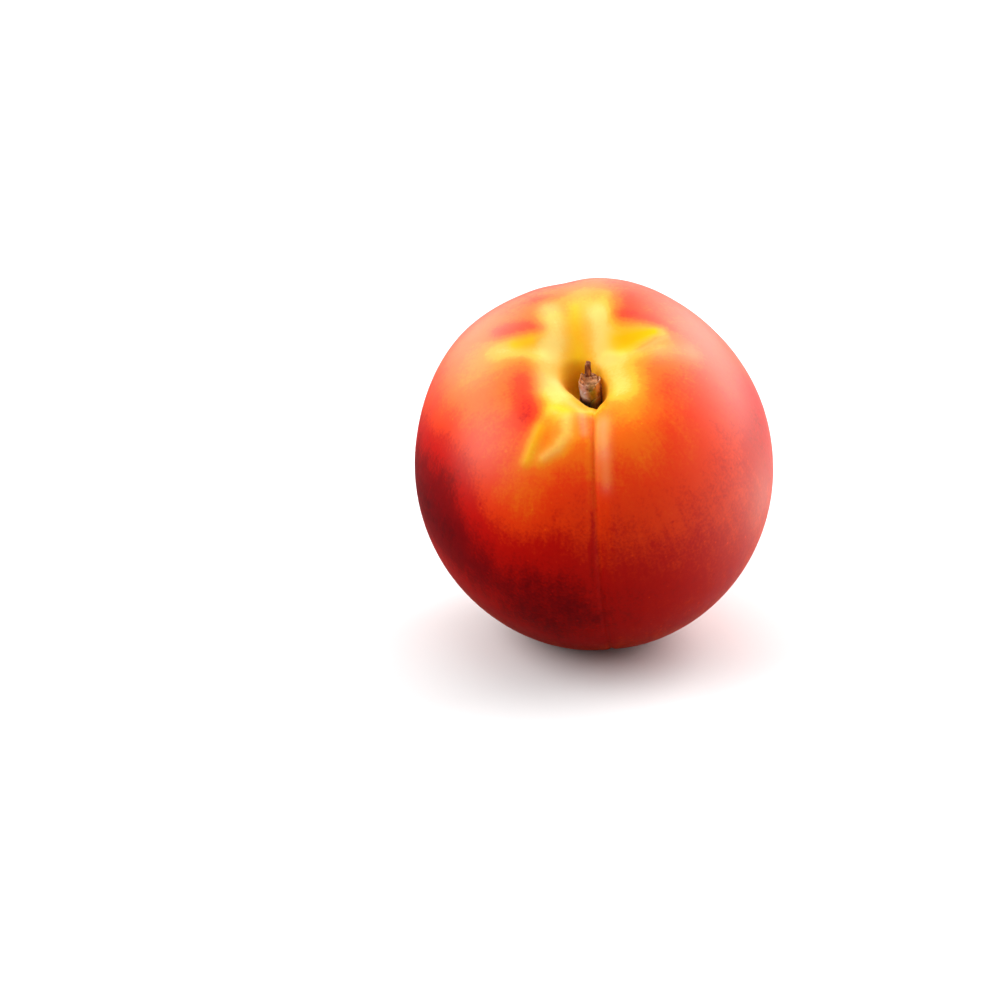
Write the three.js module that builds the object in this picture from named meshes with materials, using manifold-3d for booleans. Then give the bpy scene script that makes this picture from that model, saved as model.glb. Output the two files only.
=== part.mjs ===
/**
 * A whole ripe nectarine, as picked, with the dried stub of its stem.
 *
 * Millimetres, +Z up, the origin under the middle of the fruit on the surface it rests on.
 * The fruit is one grown solid. It is first worked out in its own frame, where the stem axis
 * is +Z, the suture runs down the -Y side and +X is the right cheek. A group then leans it
 * forward, as a round fruit lies, on a small flat spot pressed into its skin.
 *
 * "polar" is the angle from the stem axis and "around" the angle round it, from the suture
 * (0) to the right cheek (90), the back (180) and the left cheek (-90).
 */
import * as THREE from 'three';
import { mergeVertices } from 'three/addons/utils/BufferGeometryUtils.js';
import Module from 'manifold-3d';

const wasm = await Module();
wasm.setup();

// ---- Driving dimensions: millimetres and degrees ------------------------------------------

const HALF_WIDTH = 33.8; // across the cheeks
const HALF_DEPTH = 36.3; // from the suture to the back
const HALF_HEIGHT = 33; // along the stem axis, before the cavity is sunk
const MEAN_RADIUS = 34;

const LEAN_FORWARD = 28.5; // of the stem axis, from upright
const LEAN_LEFT = 6.6;
const REST_SPOT_DEPTH = 1; // how far the skin is pressed flat where the fruit rests

// Where the flesh stands out or in from the plain oval: height, and spread as a share of it.
const SWELLS = [
  { around: -132, polar: 62, rise: 1.3, spread: 0.45 },
  { around: 165, polar: 60, rise: 1.1, spread: 0.4 },
  { around: -90, polar: 92, rise: 0.3, spread: 0.5 },
  { around: 0, polar: 100, rise: -0.25, spread: 0.8 },
];

// The stem cavity: a wide funnel, at its foot a throat that reaches towards the suture, and
// the mouth of the suture, which cuts the lip between them.
const FUNNEL = { depth: 8, radius: 10.5 };
const THROAT = { x: -0.6, y: 0.2, depth: 6, radius: 3.05, reach: 0.94, reachAround: 35, reachSpread: 38 };
const MOUTH = { aside: 1.5, depth: 2.2, width: 2.7, full: 6.8, gone: 12.6 };

const SUTURE = {
  around: -5.5,
  offset: 2.4, // to the right of its meridian
  start: [2.5, 6], // the radius from the axis over which it sets in
  ahead: 3.5, // how far towards the suture's side of the axis it is at its full size
  nearStem: { polar: 0.3, reach: 0.55 }, // radians: where it is cut deeper, and how far round
  furrow: { depth: 0.28, deeper: 0.3, width: 0.7 },
  valley: { depth: 0.18, deeper: 0.3, width: 4.2 },
  ridge: { height: 0.32, aside: 2.7, width: 1.2, polar: 0.6, reach: 0.7 },
};

const BACK_VALLEY = {
  around: 184,
  polar: 0.35, // radians from the stem axis to where it is deepest
  reach: 0.6,
  depth: 0.75,
  width: 3.4,
  ahead: 4,
  banks: { height: 0.35, aside: 6, width: 2.6, reach: 0.35 },
};

// Short folds in the shoulders: place from the stem axis, direction, half sizes, depth, lip.
const FOLDS = [
  { x: 9.8, y: 4.7, direction: 8, length: 4.6, width: 2.6, depth: 1, lip: 0.1, lipSide: -1 },
  { x: -9.8, y: 6.3, direction: -6, length: 3.8, width: 2.1, depth: 0.8, lip: 0.1, lipSide: -1 },
];

const TIP = { height: 0.7, radius: 3 }; // the point left by the flower, under the fruit

const STUB = {
  foot: 15.5, // where its root starts on the stem axis, below the throat's floor
  top: 24.6,
  aside: 0.9, // to the right of the axis
  forward: 1.8, // of the axis, towards the suture
  leanBack: 11,
  radius: 1.95,
  swell: 0.22, // how much fatter it is at the middle
  shoulder: 0.5, // how much thinner it is at the top
  oval: 0.12,
  ribs: 9,
  ribDepth: 0.16,
  ribTwist: 1.4, // radians from foot to top
  topSlant: 0.35, // the broken top slopes down towards the suture
  topDimple: 0.25,
};
const NIB = { height: 2.5, sunk: 1, radius: 0.62, tipRadius: 0.34, x: -0.2, y: 1.1, leanBack: 8 };
const SCALES = { count: 5, width: 2, height: 2.3, thickness: 0.62, sunk: 0.1, splay: 9, level: 6, step: 0.5 };
const GAP = 0.35; // between the stub and the floor of the cavity

// Size of the facets.
const SEGMENTS = 84;
const CROWDING = 0.55; // how much closer the segments stand at the suture
const RING_STEP = { fine: 0.75, coarse: 2.9, from: 4, to: 24 };
const STUB_SEGMENTS = 36;
const STUB_RINGS = 12;

// ---- Small helpers ------------------------------------------------------------------------

const radians = THREE.MathUtils.degToRad;
const { smoothstep } = THREE.MathUtils;
const bell = (distance, width) => Math.exp(-((distance / width) ** 2));

/** Unit vector at an azimuth and a polar angle, both in radians. */
function heading(around, polar) {
  return new THREE.Vector3(
    Math.sin(polar) * Math.sin(around),
    -Math.sin(polar) * Math.cos(around),
    Math.cos(polar),
  );
}

/** A point's distance to the right of a meridian and its distance out along it. */
function byMeridian(x, y, around) {
  const turn = radians(around);
  return {
    aside: x * Math.cos(turn) + y * Math.sin(turn),
    out: x * Math.sin(turn) - y * Math.cos(turn),
  };
}

/** Triangles between two rings of vertex numbers; the second has as many or half as many. */
function stitch(outer, inner) {
  const ratio = outer.length / inner.length;
  const triangles = [];
  for (let i = 0; i < inner.length; i += 1) {
    const [a, b] = [inner[i], inner[(i + 1) % inner.length]];
    const far = Array.from({ length: ratio + 1 }, (_, k) => outer[(i * ratio + k) % outer.length]);
    const turnAt = Math.floor(ratio / 2);
    for (let k = 0; k < ratio; k += 1) {
      triangles.push(k < turnAt ? [a, far[k], far[k + 1]] : [b, far[k], far[k + 1]]);
    }
    triangles.push([a, far[turnAt], b]);
  }
  return triangles;
}

/** A closed geometry from stacked rings of points between two end points. */
function closedRings(first, rings, last) {
  const points = [first, ...rings.flat(), last];
  const numbers = [];
  let next = 1;
  for (const ring of rings) {
    numbers.push(ring.map((_, i) => next + i));
    next += ring.length;
  }
  const triangles = [];
  const fan = (tip, ring, flip) => ring.forEach((a, i) => {
    const b = ring[(i + 1) % ring.length];
    triangles.push(flip ? [tip, b, a] : [tip, a, b]);
  });
  fan(0, numbers[0], false);
  for (let k = 1; k < numbers.length; k += 1) {
    const [above, below] = [numbers[k - 1], numbers[k]];
    if (below.length >= above.length) {
      triangles.push(...stitch(below, above));
    } else {
      triangles.push(...stitch(above, below).map(([a, b, c]) => [a, c, b]));
    }
  }
  fan(points.length - 1, numbers.at(-1), true);
  const geometry = new THREE.BufferGeometry();
  geometry.setAttribute('position', new THREE.Float32BufferAttribute(points.flatMap((p) => p.toArray()), 3));
  geometry.setIndex(triangles.flat());
  return geometry;
}

/** The solid inside a closed geometry. */
function solid(geometry) {
  const bare = geometry.clone();
  bare.deleteAttribute('normal');
  bare.deleteAttribute('uv');
  const merged = mergeVertices(bare, 1e-4);
  return new wasm.Manifold(new wasm.Mesh({
    numProp: 3,
    vertProperties: new Float32Array(merged.getAttribute('position').array),
    triVerts: new Uint32Array(merged.getIndex().array),
  }));
}

/** The geometry of a solid. */
function surface(body) {
  const { vertProperties, triVerts } = body.getMesh();
  const geometry = new THREE.BufferGeometry();
  geometry.setAttribute('position', new THREE.BufferAttribute(vertProperties, 3));
  geometry.setIndex(new THREE.BufferAttribute(triVerts, 1));
  return geometry;
}

// ---- The skin of the fruit ----------------------------------------------------------------

/** How far the suture's line, valley and right-hand ridge move the skin out. */
function sutureRelief(x, y, polar) {
  const { aside, out } = byMeridian(x, y, SUTURE.around);
  const side = aside - SUTURE.offset;
  const { furrow, valley, ridge } = SUTURE;
  const nearStem = bell(polar - SUTURE.nearStem.polar, SUTURE.nearStem.reach);
  const line = (furrow.depth + furrow.deeper * nearStem) * bell(side, furrow.width);
  const hollow = (valley.depth + valley.deeper * nearStem) * bell(side, valley.width);
  const bank = ridge.height * bell(side - ridge.aside, ridge.width) * bell(polar - ridge.polar, ridge.reach);
  const begun = smoothstep(Math.hypot(x, y), ...SUTURE.start);
  return smoothstep(out, 0, SUTURE.ahead) * ((bank - line) * begun - hollow);
}

/** How far the shallow valley down the back moves the skin out. */
function backRelief(x, y, polar) {
  const { aside, out } = byMeridian(x, y, BACK_VALLEY.around);
  const { depth, width, reach, banks } = BACK_VALLEY;
  const along = polar - BACK_VALLEY.polar;
  const hollow = depth * bell(aside, width) * bell(along, reach);
  const fromBank = Math.abs(aside) - banks.aside;
  const raised = banks.height * bell(fromBank, banks.width) * bell(along, banks.reach);
  return smoothstep(out, 0, BACK_VALLEY.ahead) * (raised - hollow);
}

/** How far one fold of the shoulders moves the skin out. */
function foldRelief(x, y, fold) {
  const turn = radians(fold.direction);
  const along = (x - fold.x) * Math.cos(turn) + (y - fold.y) * Math.sin(turn);
  const across = (y - fold.y) * Math.cos(turn) - (x - fold.x) * Math.sin(turn);
  const dip = fold.depth * bell(along, fold.length) * bell(across, fold.width);
  const toLip = across - 1.5 * fold.lipSide * fold.width;
  const lip = fold.lip * bell(along, 1.3 * fold.length) * bell(toLip, 0.6 * fold.width);
  return lip - dip;
}

/** Depth of the stem cavity at a point seen along the stem axis. */
function cavityDepth(x, y) {
  const radius = Math.hypot(x, y);
  const funnel = FUNNEL.depth * bell(radius, FUNNEL.radius);
  const around = Math.atan2(x - THROAT.x, THROAT.y - y);
  const reach = THROAT.reach * bell(around - radians(THROAT.reachAround), radians(THROAT.reachSpread));
  const share = Math.hypot(x - THROAT.x, y - THROAT.y) / (THROAT.radius * (1 + reach));
  const throat = THROAT.depth * Math.exp(-(share ** 4));
  const { aside, out } = byMeridian(x, y, SUTURE.around);
  const inMouth = smoothstep(out, -1, 2) * (1 - smoothstep(radius, MOUTH.full, MOUTH.gone));
  const mouth = MOUTH.depth * bell(aside - MOUTH.aside, MOUTH.width) * inMouth;
  return funnel + throat + mouth;
}

/** A point of the skin, in the fruit's own frame. */
function skinPoint(polar, around) {
  const out = heading(around, polar);
  let share = 1;
  for (const swell of SWELLS) {
    const towards = heading(radians(swell.around), radians(swell.polar));
    share += (swell.rise / MEAN_RADIUS) * bell(out.distanceTo(towards), swell.spread);
  }
  const point = new THREE.Vector3(HALF_WIDTH, HALF_DEPTH, HALF_HEIGHT).multiply(out).multiplyScalar(share);
  const { x, y } = point;
  const onTop = out.z > 0;
  let rise = sutureRelief(x, y, polar) + backRelief(x, y, polar);
  if (onTop) {
    rise += FOLDS.reduce((sum, fold) => sum + foldRelief(x, y, fold), 0);
  }
  point.addScaledVector(out, rise);
  const tip = TIP.height * bell(Math.hypot(point.x, point.y), TIP.radius);
  point.z -= onTop ? cavityDepth(point.x, point.y) : tip;
  return point;
}

/** Polar angles of the rings: close together in the cavity and at the tip, wider between. */
function ringAngles() {
  const angles = [];
  const step = (polar) => {
    const radius = MEAN_RADIUS * Math.sin(polar);
    const { fine, coarse, from, to } = RING_STEP;
    return (fine + (coarse - fine) * smoothstep(radius, from, to)) / MEAN_RADIUS;
  };
  for (let polar = step(0); polar < Math.PI - 0.7 * step(0); polar += step(polar)) {
    angles.push(polar);
  }
  return angles;
}

/** Segments in a ring: full, half or a quarter, so that none is a sliver near the poles. */
function segmentsAt(polar) {
  const radius = MEAN_RADIUS * Math.sin(polar);
  if (radius < 2.6) {
    return SEGMENTS / 4;
  }
  return radius < 6 ? SEGMENTS / 2 : SEGMENTS;
}

/** The fruit's geometry in its own frame, pressed flat where it rests. */
function fruitGeometry(up) {
  const rings = ringAngles().map((polar) => {
    const count = segmentsAt(polar);
    return Array.from({ length: count }, (_, i) => {
      const turn = (2 * Math.PI * i) / count;
      return skinPoint(polar, turn - CROWDING * Math.sin(turn) + radians(SUTURE.around));
    });
  });
  const ends = [skinPoint(0, 0), skinPoint(Math.PI, 0)];
  const everyPoint = [...ends, ...rings.flat()];
  const level = Math.min(...everyPoint.map((point) => point.dot(up))) + REST_SPOT_DEPTH;
  for (const point of everyPoint) {
    point.addScaledVector(up, Math.max(0, level - point.dot(up)));
  }
  return closedRings(ends[0], rings, ends[1]);
}

// ---- The stub of the stem -----------------------------------------------------------------

/** The ribbed woody core, standing on its own origin, with a slanting broken top. */
function stubCore() {
  const height = STUB.top - STUB.foot;
  const rings = [];
  for (let k = 0; k <= STUB_RINGS; k += 1) {
    const share = k / STUB_RINGS;
    const girth = STUB.radius + STUB.swell * Math.sin(Math.PI * share) - STUB.shoulder * share ** 6;
    rings.push(Array.from({ length: STUB_SEGMENTS }, (_, i) => {
      const turn = (2 * Math.PI * i) / STUB_SEGMENTS;
      const rib = STUB.ribDepth * Math.cos(STUB.ribs * turn + STUB.ribTwist * share);
      const radius = girth + rib + STUB.oval * Math.cos(2 * turn + 1);
      const y = radius * Math.sin(turn);
      return new THREE.Vector3(radius * Math.cos(turn), y, share * (height + STUB.topSlant * y));
    }));
  }
  rings.reverse();
  return closedRings(new THREE.Vector3(0, 0, height - STUB.topDimple), rings, new THREE.Vector3(0, 0, 0));
}

/** One dried bud scale: a short pointed plate, thickest at its root. */
function scaleGeometry() {
  const { width, height, thickness } = SCALES;
  const outline = new THREE.Shape();
  outline.moveTo(-0.5 * width, 0);
  outline.lineTo(0.5 * width, 0);
  outline.lineTo(0.42 * width, 0.6 * height);
  outline.lineTo(0.05 * width, height);
  outline.lineTo(-0.4 * width, 0.65 * height);
  outline.closePath();
  const geometry = new THREE.ExtrudeGeometry(outline, { depth: thickness, bevelEnabled: false });
  geometry.translate(0, 0, -0.5 * thickness);
  return geometry.rotateX(Math.PI / 2);
}

/** The stub with its scales and nib, in the fruit's own frame, its foot fitted to the cavity. */
function stubGeometry(fruit) {
  const core = stubCore();
  const pieces = [core];
  for (let k = 0; k < SCALES.count; k += 1) {
    const scale = scaleGeometry();
    scale.rotateX(radians(-SCALES.splay));
    scale.translate(0, STUB.radius - SCALES.sunk, SCALES.level - SCALES.step * (k % 3));
    scale.rotateZ((2 * Math.PI * (k + 0.3)) / SCALES.count);
    pieces.push(scale);
  }
  const nib = new THREE.CylinderGeometry(NIB.tipRadius, NIB.radius, NIB.height + NIB.sunk, 9);
  nib.rotateX(Math.PI / 2).rotateX(radians(-NIB.leanBack));
  nib.translate(NIB.x, NIB.y, STUB.top - STUB.foot + 0.5 * (NIB.height - NIB.sunk));
  pieces.push(nib);
  const place = new THREE.Matrix4().makeRotationX(radians(-STUB.leanBack));
  place.setPosition(STUB.aside, -STUB.forward, STUB.foot);
  const whole = pieces
    .map((piece) => solid(piece.applyMatrix4(place)))
    .reduce((sum, piece) => sum.add(piece));
  const floor = solid(fruit.clone().translate(0, 0, GAP));
  return surface(whole.subtract(floor));
}

// ---- Assembly -----------------------------------------------------------------------------

function finish(color, roughness) {
  return new THREE.MeshStandardMaterial({ color, roughness, metalness: 0, flatShading: true });
}

function piece(name, geometry, material) {
  const mesh = new THREE.Mesh(geometry, material);
  mesh.name = name;
  return mesh;
}

const leaning = new THREE.Group();
leaning.rotation.set(radians(LEAN_FORWARD), -radians(LEAN_LEFT), 0, 'YXZ');
const up = new THREE.Vector3(0, 0, 1).applyQuaternion(leaning.quaternion.clone().invert());

const fruit = fruitGeometry(up);
leaning.add(
  piece('fruit', fruit, finish(0xe0562c, 0.42)),
  piece('stem', stubGeometry(fruit), finish(0x8a5a3a, 0.85)),
);

const box = new THREE.Box3().setFromObject(leaning, true);
const middle = box.getCenter(new THREE.Vector3());
leaning.position.set(-middle.x, -middle.y, -box.min.z);

const group = new THREE.Group();
group.add(leaning);

export default group;
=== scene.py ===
"""The looks of a whole ripe nectarine: its skin with suture, stem cavity and folds, and the
dried stub of its stem.

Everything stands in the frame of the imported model, in metres. Sizes are given in millimetres
in the fruit's own frame, where the stem axis is +Z, the suture runs down the -Y side and +X is
the right cheek. "polar" is the angle from the stem axis, and "around" the angle round it, from
the suture's side (0) to the right cheek (90), the back (180) and the left cheek (-90).
"""

import logging
import math
from collections.abc import Sequence
from dataclasses import dataclass, field
from enum import Enum

import bpy
import numpy as np
from mathutils import Euler, Matrix, Vector


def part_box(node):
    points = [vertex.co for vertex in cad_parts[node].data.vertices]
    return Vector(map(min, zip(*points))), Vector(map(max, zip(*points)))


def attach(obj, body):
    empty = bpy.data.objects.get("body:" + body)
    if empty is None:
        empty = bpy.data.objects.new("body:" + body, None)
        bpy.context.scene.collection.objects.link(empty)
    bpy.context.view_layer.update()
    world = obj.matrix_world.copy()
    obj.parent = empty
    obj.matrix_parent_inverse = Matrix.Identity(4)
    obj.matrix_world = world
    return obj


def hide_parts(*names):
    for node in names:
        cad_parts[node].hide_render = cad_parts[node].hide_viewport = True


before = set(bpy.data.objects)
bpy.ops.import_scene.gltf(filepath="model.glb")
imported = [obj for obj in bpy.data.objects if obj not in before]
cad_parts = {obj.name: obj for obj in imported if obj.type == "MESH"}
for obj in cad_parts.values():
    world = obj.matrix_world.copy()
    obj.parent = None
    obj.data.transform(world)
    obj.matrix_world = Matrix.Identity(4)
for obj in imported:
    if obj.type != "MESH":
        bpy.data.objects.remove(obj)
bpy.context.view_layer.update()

BODY = "root"
MM = 0.001
LOG = logging.getLogger("nectarine")

# Socket types of the trees' inputs and outputs.
NUMBER = "NodeSocketFloat"
COUNT = "NodeSocketInt"
VECTOR = "NodeSocketVector"
MATERIAL = "NodeSocketMaterial"

# The corners of a square about the origin.
SQUARE = ((-1, -1), (1, -1), (1, 1), (-1, 1))

# Where the Mix node keeps its sockets for colours, and Random Value its sockets for numbers.
MIX_BASE, MIX_OVER, MIX_RESULT = 6, 7, 2
RANDOM_LOW, RANDOM_HIGH, RANDOM_RESULT = 2, 3, 1

Pair = tuple[float, float]
Triple = tuple[float, float, float]
Colour = tuple[float, float, float, float]
Stops = tuple[tuple[float, Colour], ...]


def display(red: int, green: int, blue: int) -> Colour:
    """A colour as a screen shows it, turned by the sRGB curve to the values that nodes hold.

    Args:
        red, green, blue: The channels, 0 to 255.

    Returns:
        Linear red, green, blue and an alpha of 1.
    """
    shares = [channel / 255 for channel in (red, green, blue)]
    linear = [s / 12.92 if s <= 0.04045 else ((s + 0.055) / 1.055) ** 2.4 for s in shares]
    return (*linear, 1.0)


def heading(around: float, polar: float) -> Vector:
    """The unit vector at an azimuth and a polar angle, both in degrees."""
    a, p = math.radians(around), math.radians(polar)
    return Vector((math.sin(p) * math.sin(a), -math.sin(p) * math.cos(a), math.cos(p)))


# ---- Formulas written as nodes ----------------------------------------------------------


class Formula:
    """A quantity at a socket of a node tree. Arithmetic on it adds nodes to the tree."""

    def __init__(self, tree: bpy.types.NodeTree, socket: bpy.types.NodeSocket) -> None:
        """Takes the tree and the output socket that holds the quantity."""
        self.tree = tree
        self.socket = socket

    def maths(self, operation: str, *others: "Formula | float") -> "Formula":
        """This quantity and others put through one Math node."""
        return maths(self.tree, operation, self, *others)

    def __add__(self, other: "Formula | float") -> "Formula":
        """The sum."""
        return self.maths("ADD", other)

    def __sub__(self, other: "Formula | float") -> "Formula":
        """The difference."""
        return self.maths("SUBTRACT", other)

    def __mul__(self, other: "Formula | float") -> "Formula":
        """The product."""
        return self.maths("MULTIPLY", other)

    def __truediv__(self, other: "Formula | float") -> "Formula":
        """The quotient."""
        return self.maths("DIVIDE", other)

    def __rsub__(self, other: float) -> "Formula":
        """A number less this quantity."""
        return maths(self.tree, "SUBTRACT", other, self)

    def __rtruediv__(self, other: float) -> "Formula":
        """A number divided by this quantity."""
        return maths(self.tree, "DIVIDE", other, self)

    def __neg__(self) -> "Formula":
        """This quantity with its sign turned."""
        return self * -1.0

    def bell(self, width: "Formula | float") -> "Formula":
        """1 where this is 0, falling smoothly to 0 over a few widths."""
        share = self / width
        return (-(share * share)).maths("EXPONENT")

    def rise(self, start: float, end: float) -> "Formula":
        """An eased climb from 0 to 1.

        Args:
            start: The value up to which the result is 0.
            end: The value from which it is 1.

        Returns:
            The eased share.
        """
        node = self.tree.nodes.new("ShaderNodeMapRange")
        node.interpolation_type = "SMOOTHSTEP"
        plug(self.tree, node.inputs["Value"], self)
        node.inputs["From Min"].default_value = start
        node.inputs["From Max"].default_value = end
        return Formula(self.tree, node.outputs["Result"])


def plug(tree: bpy.types.NodeTree, target: bpy.types.NodeSocket, value: object) -> None:
    """Sets an input socket to a plain value, or links it to a formula.

    Args:
        tree: The tree that the socket is in.
        target: The input socket.
        value: A formula, or a value of the socket's own type.
    """
    if isinstance(value, Formula):
        tree.links.new(value.socket, target)
    else:
        target.default_value = value


def maths(tree: bpy.types.NodeTree, operation: str, *values: Formula | float) -> Formula:
    """One Math node fed with some values.

    Args:
        tree: The tree to add it to.
        operation: What the node does.
        values: What goes into it, in order.

    Returns:
        The result.
    """
    node = tree.nodes.new("ShaderNodeMath")
    node.operation = operation
    for target, value in zip(node.inputs, values):
        plug(tree, target, value)
    return Formula(tree, node.outputs[0])


def vector_maths(tree: bpy.types.NodeTree, operation: str, *values: object) -> Formula:
    """One Vector Math node fed with some values.

    Args:
        tree: The tree to add it to.
        operation: What the node does.
        values: What goes into it, in order: plain vectors, or formulas that give vectors.

    Returns:
        A number for a length, a distance or a dot product, and else a vector.
    """
    node = tree.nodes.new("ShaderNodeVectorMath")
    node.operation = operation
    for target, value in zip(node.inputs, values):
        plug(tree, target, value)
    scalar = operation in ("DOT_PRODUCT", "LENGTH", "DISTANCE")
    return Formula(tree, node.outputs["Value" if scalar else "Vector"])


def combined(*parts: Formula | float) -> Formula:
    """A vector from its three parts.

    Args:
        parts: The parts, of which one at least is a formula.

    Returns:
        The vector, in that formula's tree.
    """
    tree = next(part.tree for part in parts if isinstance(part, Formula))
    node = tree.nodes.new("ShaderNodeCombineXYZ")
    for target, value in zip(node.inputs, parts):
        plug(tree, target, value)
    return Formula(tree, node.outputs[0])


def parts_of(vector: Formula) -> tuple[Formula, Formula, Formula]:
    """The three parts of a vector.

    Args:
        vector: The vector.

    Returns:
        Its X, Y and Z parts.
    """
    node = vector.tree.nodes.new("ShaderNodeSeparateXYZ")
    plug(vector.tree, node.inputs[0], vector)
    return tuple(Formula(vector.tree, out) for out in node.outputs[:3])


def from_axis(x: Formula, y: Formula) -> Formula:
    """How far a point in plan is from the middle."""
    return (x * x + y * y).maths("SQRT")


def uneven(place: Formula, lumps: float, detail: Formula | float) -> Formula:
    """Smooth noise about 0.

    Args:
        place: Where it is read, a vector.
        lumps: How many lumps there are to a unit of length.
        detail: How many finer layers it has.

    Returns:
        The noise, from -0.5 to 0.5.
    """
    node = place.tree.nodes.new("ShaderNodeTexNoise")
    plug(place.tree, node.inputs["Vector"], place)
    plug(place.tree, node.inputs["Detail"], detail)
    node.inputs["Scale"].default_value = lumps
    return Formula(place.tree, node.outputs[0]) - 0.5


def distance_to_segment(place: Formula, start: object, end: object) -> tuple[Formula, Formula]:
    """How far a place is from a straight line between two points.

    Args:
        place: The place, a vector.
        start, end: The line's ends: plain vectors, or formulas that give vectors.

    Returns:
        The distance, and the share of the way from start to end of the nearest point.
    """
    tree = place.tree
    along = vector_maths(tree, "SUBTRACT", end, start)
    to_place = vector_maths(tree, "SUBTRACT", place, start)
    length_squared = vector_maths(tree, "DOT_PRODUCT", along, along)
    share = vector_maths(tree, "DOT_PRODUCT", to_place, along) / length_squared
    share = share.maths("MAXIMUM", 0.0).maths("MINIMUM", 1.0)
    node = tree.nodes.new("ShaderNodeVectorMath")
    node.operation = "SCALE"
    plug(tree, node.inputs[0], along)
    plug(tree, node.inputs["Scale"], share)
    nearest = vector_maths(tree, "ADD", start, Formula(tree, node.outputs[0]))
    return vector_maths(tree, "DISTANCE", place, nearest), share


class ShapeProgram:
    """A Geometry Nodes tree with named sizes, run once to make a plain mesh."""

    def __init__(self, name: str) -> None:
        """Starts an empty tree.

        Args:
            name: The tree's name.
        """
        self.tree = bpy.data.node_groups.new(name, "GeometryNodeTree")
        self.tree.interface.new_socket(name="Geometry", in_out="OUTPUT", socket_type="NodeSocketGeometry")
        self.entry = self.tree.nodes.new("NodeGroupInput")
        self.values: dict[str, object] = {}

    def size(self, name: str, value: object, kind: str = NUMBER) -> Formula:
        """Adds a named input.

        Args:
            name: The input's name.
            value: What the input is set to.
            kind: The type of its socket.

        Returns:
            The input, for use in the tree.
        """
        socket = self.tree.interface.new_socket(name=name, in_out="INPUT", socket_type=kind)
        self.values[socket.identifier] = value
        return Formula(self.tree, self.entry.outputs[name])

    def node(self, kind: str, **settings: object) -> Formula:
        """Adds a node.

        Args:
            kind: The type of the node.
            settings: Its inputs, with _ for a space, or its properties.

        Returns:
            Its first output.
        """
        node = self.tree.nodes.new(kind)
        for name, value in settings.items():
            title = name.replace("_", " ").title()
            if title in node.inputs:
                plug(self.tree, node.inputs[title], value)
            else:
                setattr(node, name, value)
        return Formula(self.tree, node.outputs[0])

    def position(self) -> tuple[Formula, Formula, Formula]:
        """The three parts of each point's position."""
        return parts_of(self.node("GeometryNodeInputPosition"))

    def moved(self, geometry: Formula, position: Formula) -> Formula:
        """The geometry with each point put at a new position."""
        return self.node("GeometryNodeSetPosition", geometry=geometry, position=position)

    def post(self, sides: int, levels: int, rings: int) -> tuple[Formula, Formula, Formula, Formula]:
        """A closed upright post of radius 1, to be given its shape.

        Args:
            sides: How many sides it has.
            levels: How many bands its wall is cut into.
            rings: How many rings its ends are cut into.

        Returns:
            The post, and each point's X, Y and share of the way up.
        """
        post = self.node(
            "GeometryNodeMeshCylinder",
            vertices=sides,
            side_segments=levels,
            fill_segments=rings,
            fill_type="TRIANGLE_FAN",
            radius=1.0,
            depth=1.0,
        )
        x, y, z = self.position()
        return post, x, y, z + 0.5

    def dressed(self, geometry: Formula, material: bpy.types.Material, name: str) -> Formula:
        """Makes a shape real and smooth, and gives it a material.

        Args:
            geometry: The shape.
            material: The material.
            name: The name of the input that holds the material.

        Returns:
            The shape, ready to be joined.
        """
        smooth = self.node("GeometryNodeSetShadeSmooth", geometry=geometry)
        real = self.node("GeometryNodeRealizeInstances", geometry=smooth)
        chosen = self.size(name, material, MATERIAL)
        return self.node("GeometryNodeSetMaterial", geometry=real, material=chosen)

    def run(self, *shapes: Formula) -> bpy.types.Object:
        """Joins some shapes and runs the tree.

        Args:
            shapes: The dressed shapes that the result holds.

        Returns:
            A plain mesh object with the tree's name.
        """
        name = self.tree.name
        join = self.tree.nodes.new("GeometryNodeJoinGeometry")
        for shape in shapes:
            self.tree.links.new(shape.socket, join.inputs[0])
        last = self.tree.nodes.new("NodeGroupOutput")
        self.tree.links.new(join.outputs[0], last.inputs[0])
        made = bpy.data.objects.new(name, bpy.data.meshes.new(name))
        bpy.context.scene.collection.objects.link(made)
        modifier = made.modifiers.new(name, "NODES")
        modifier.node_group = self.tree
        for identifier, value in self.values.items():
            modifier[identifier] = value
        evaluated = made.evaluated_get(bpy.context.evaluated_depsgraph_get())
        mesh = bpy.data.meshes.new_from_object(evaluated)
        made.modifiers.remove(modifier)
        made.data = mesh
        mesh.name = name
        return made


# ---- Where the fruit lies ---------------------------------------------------------------


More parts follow.
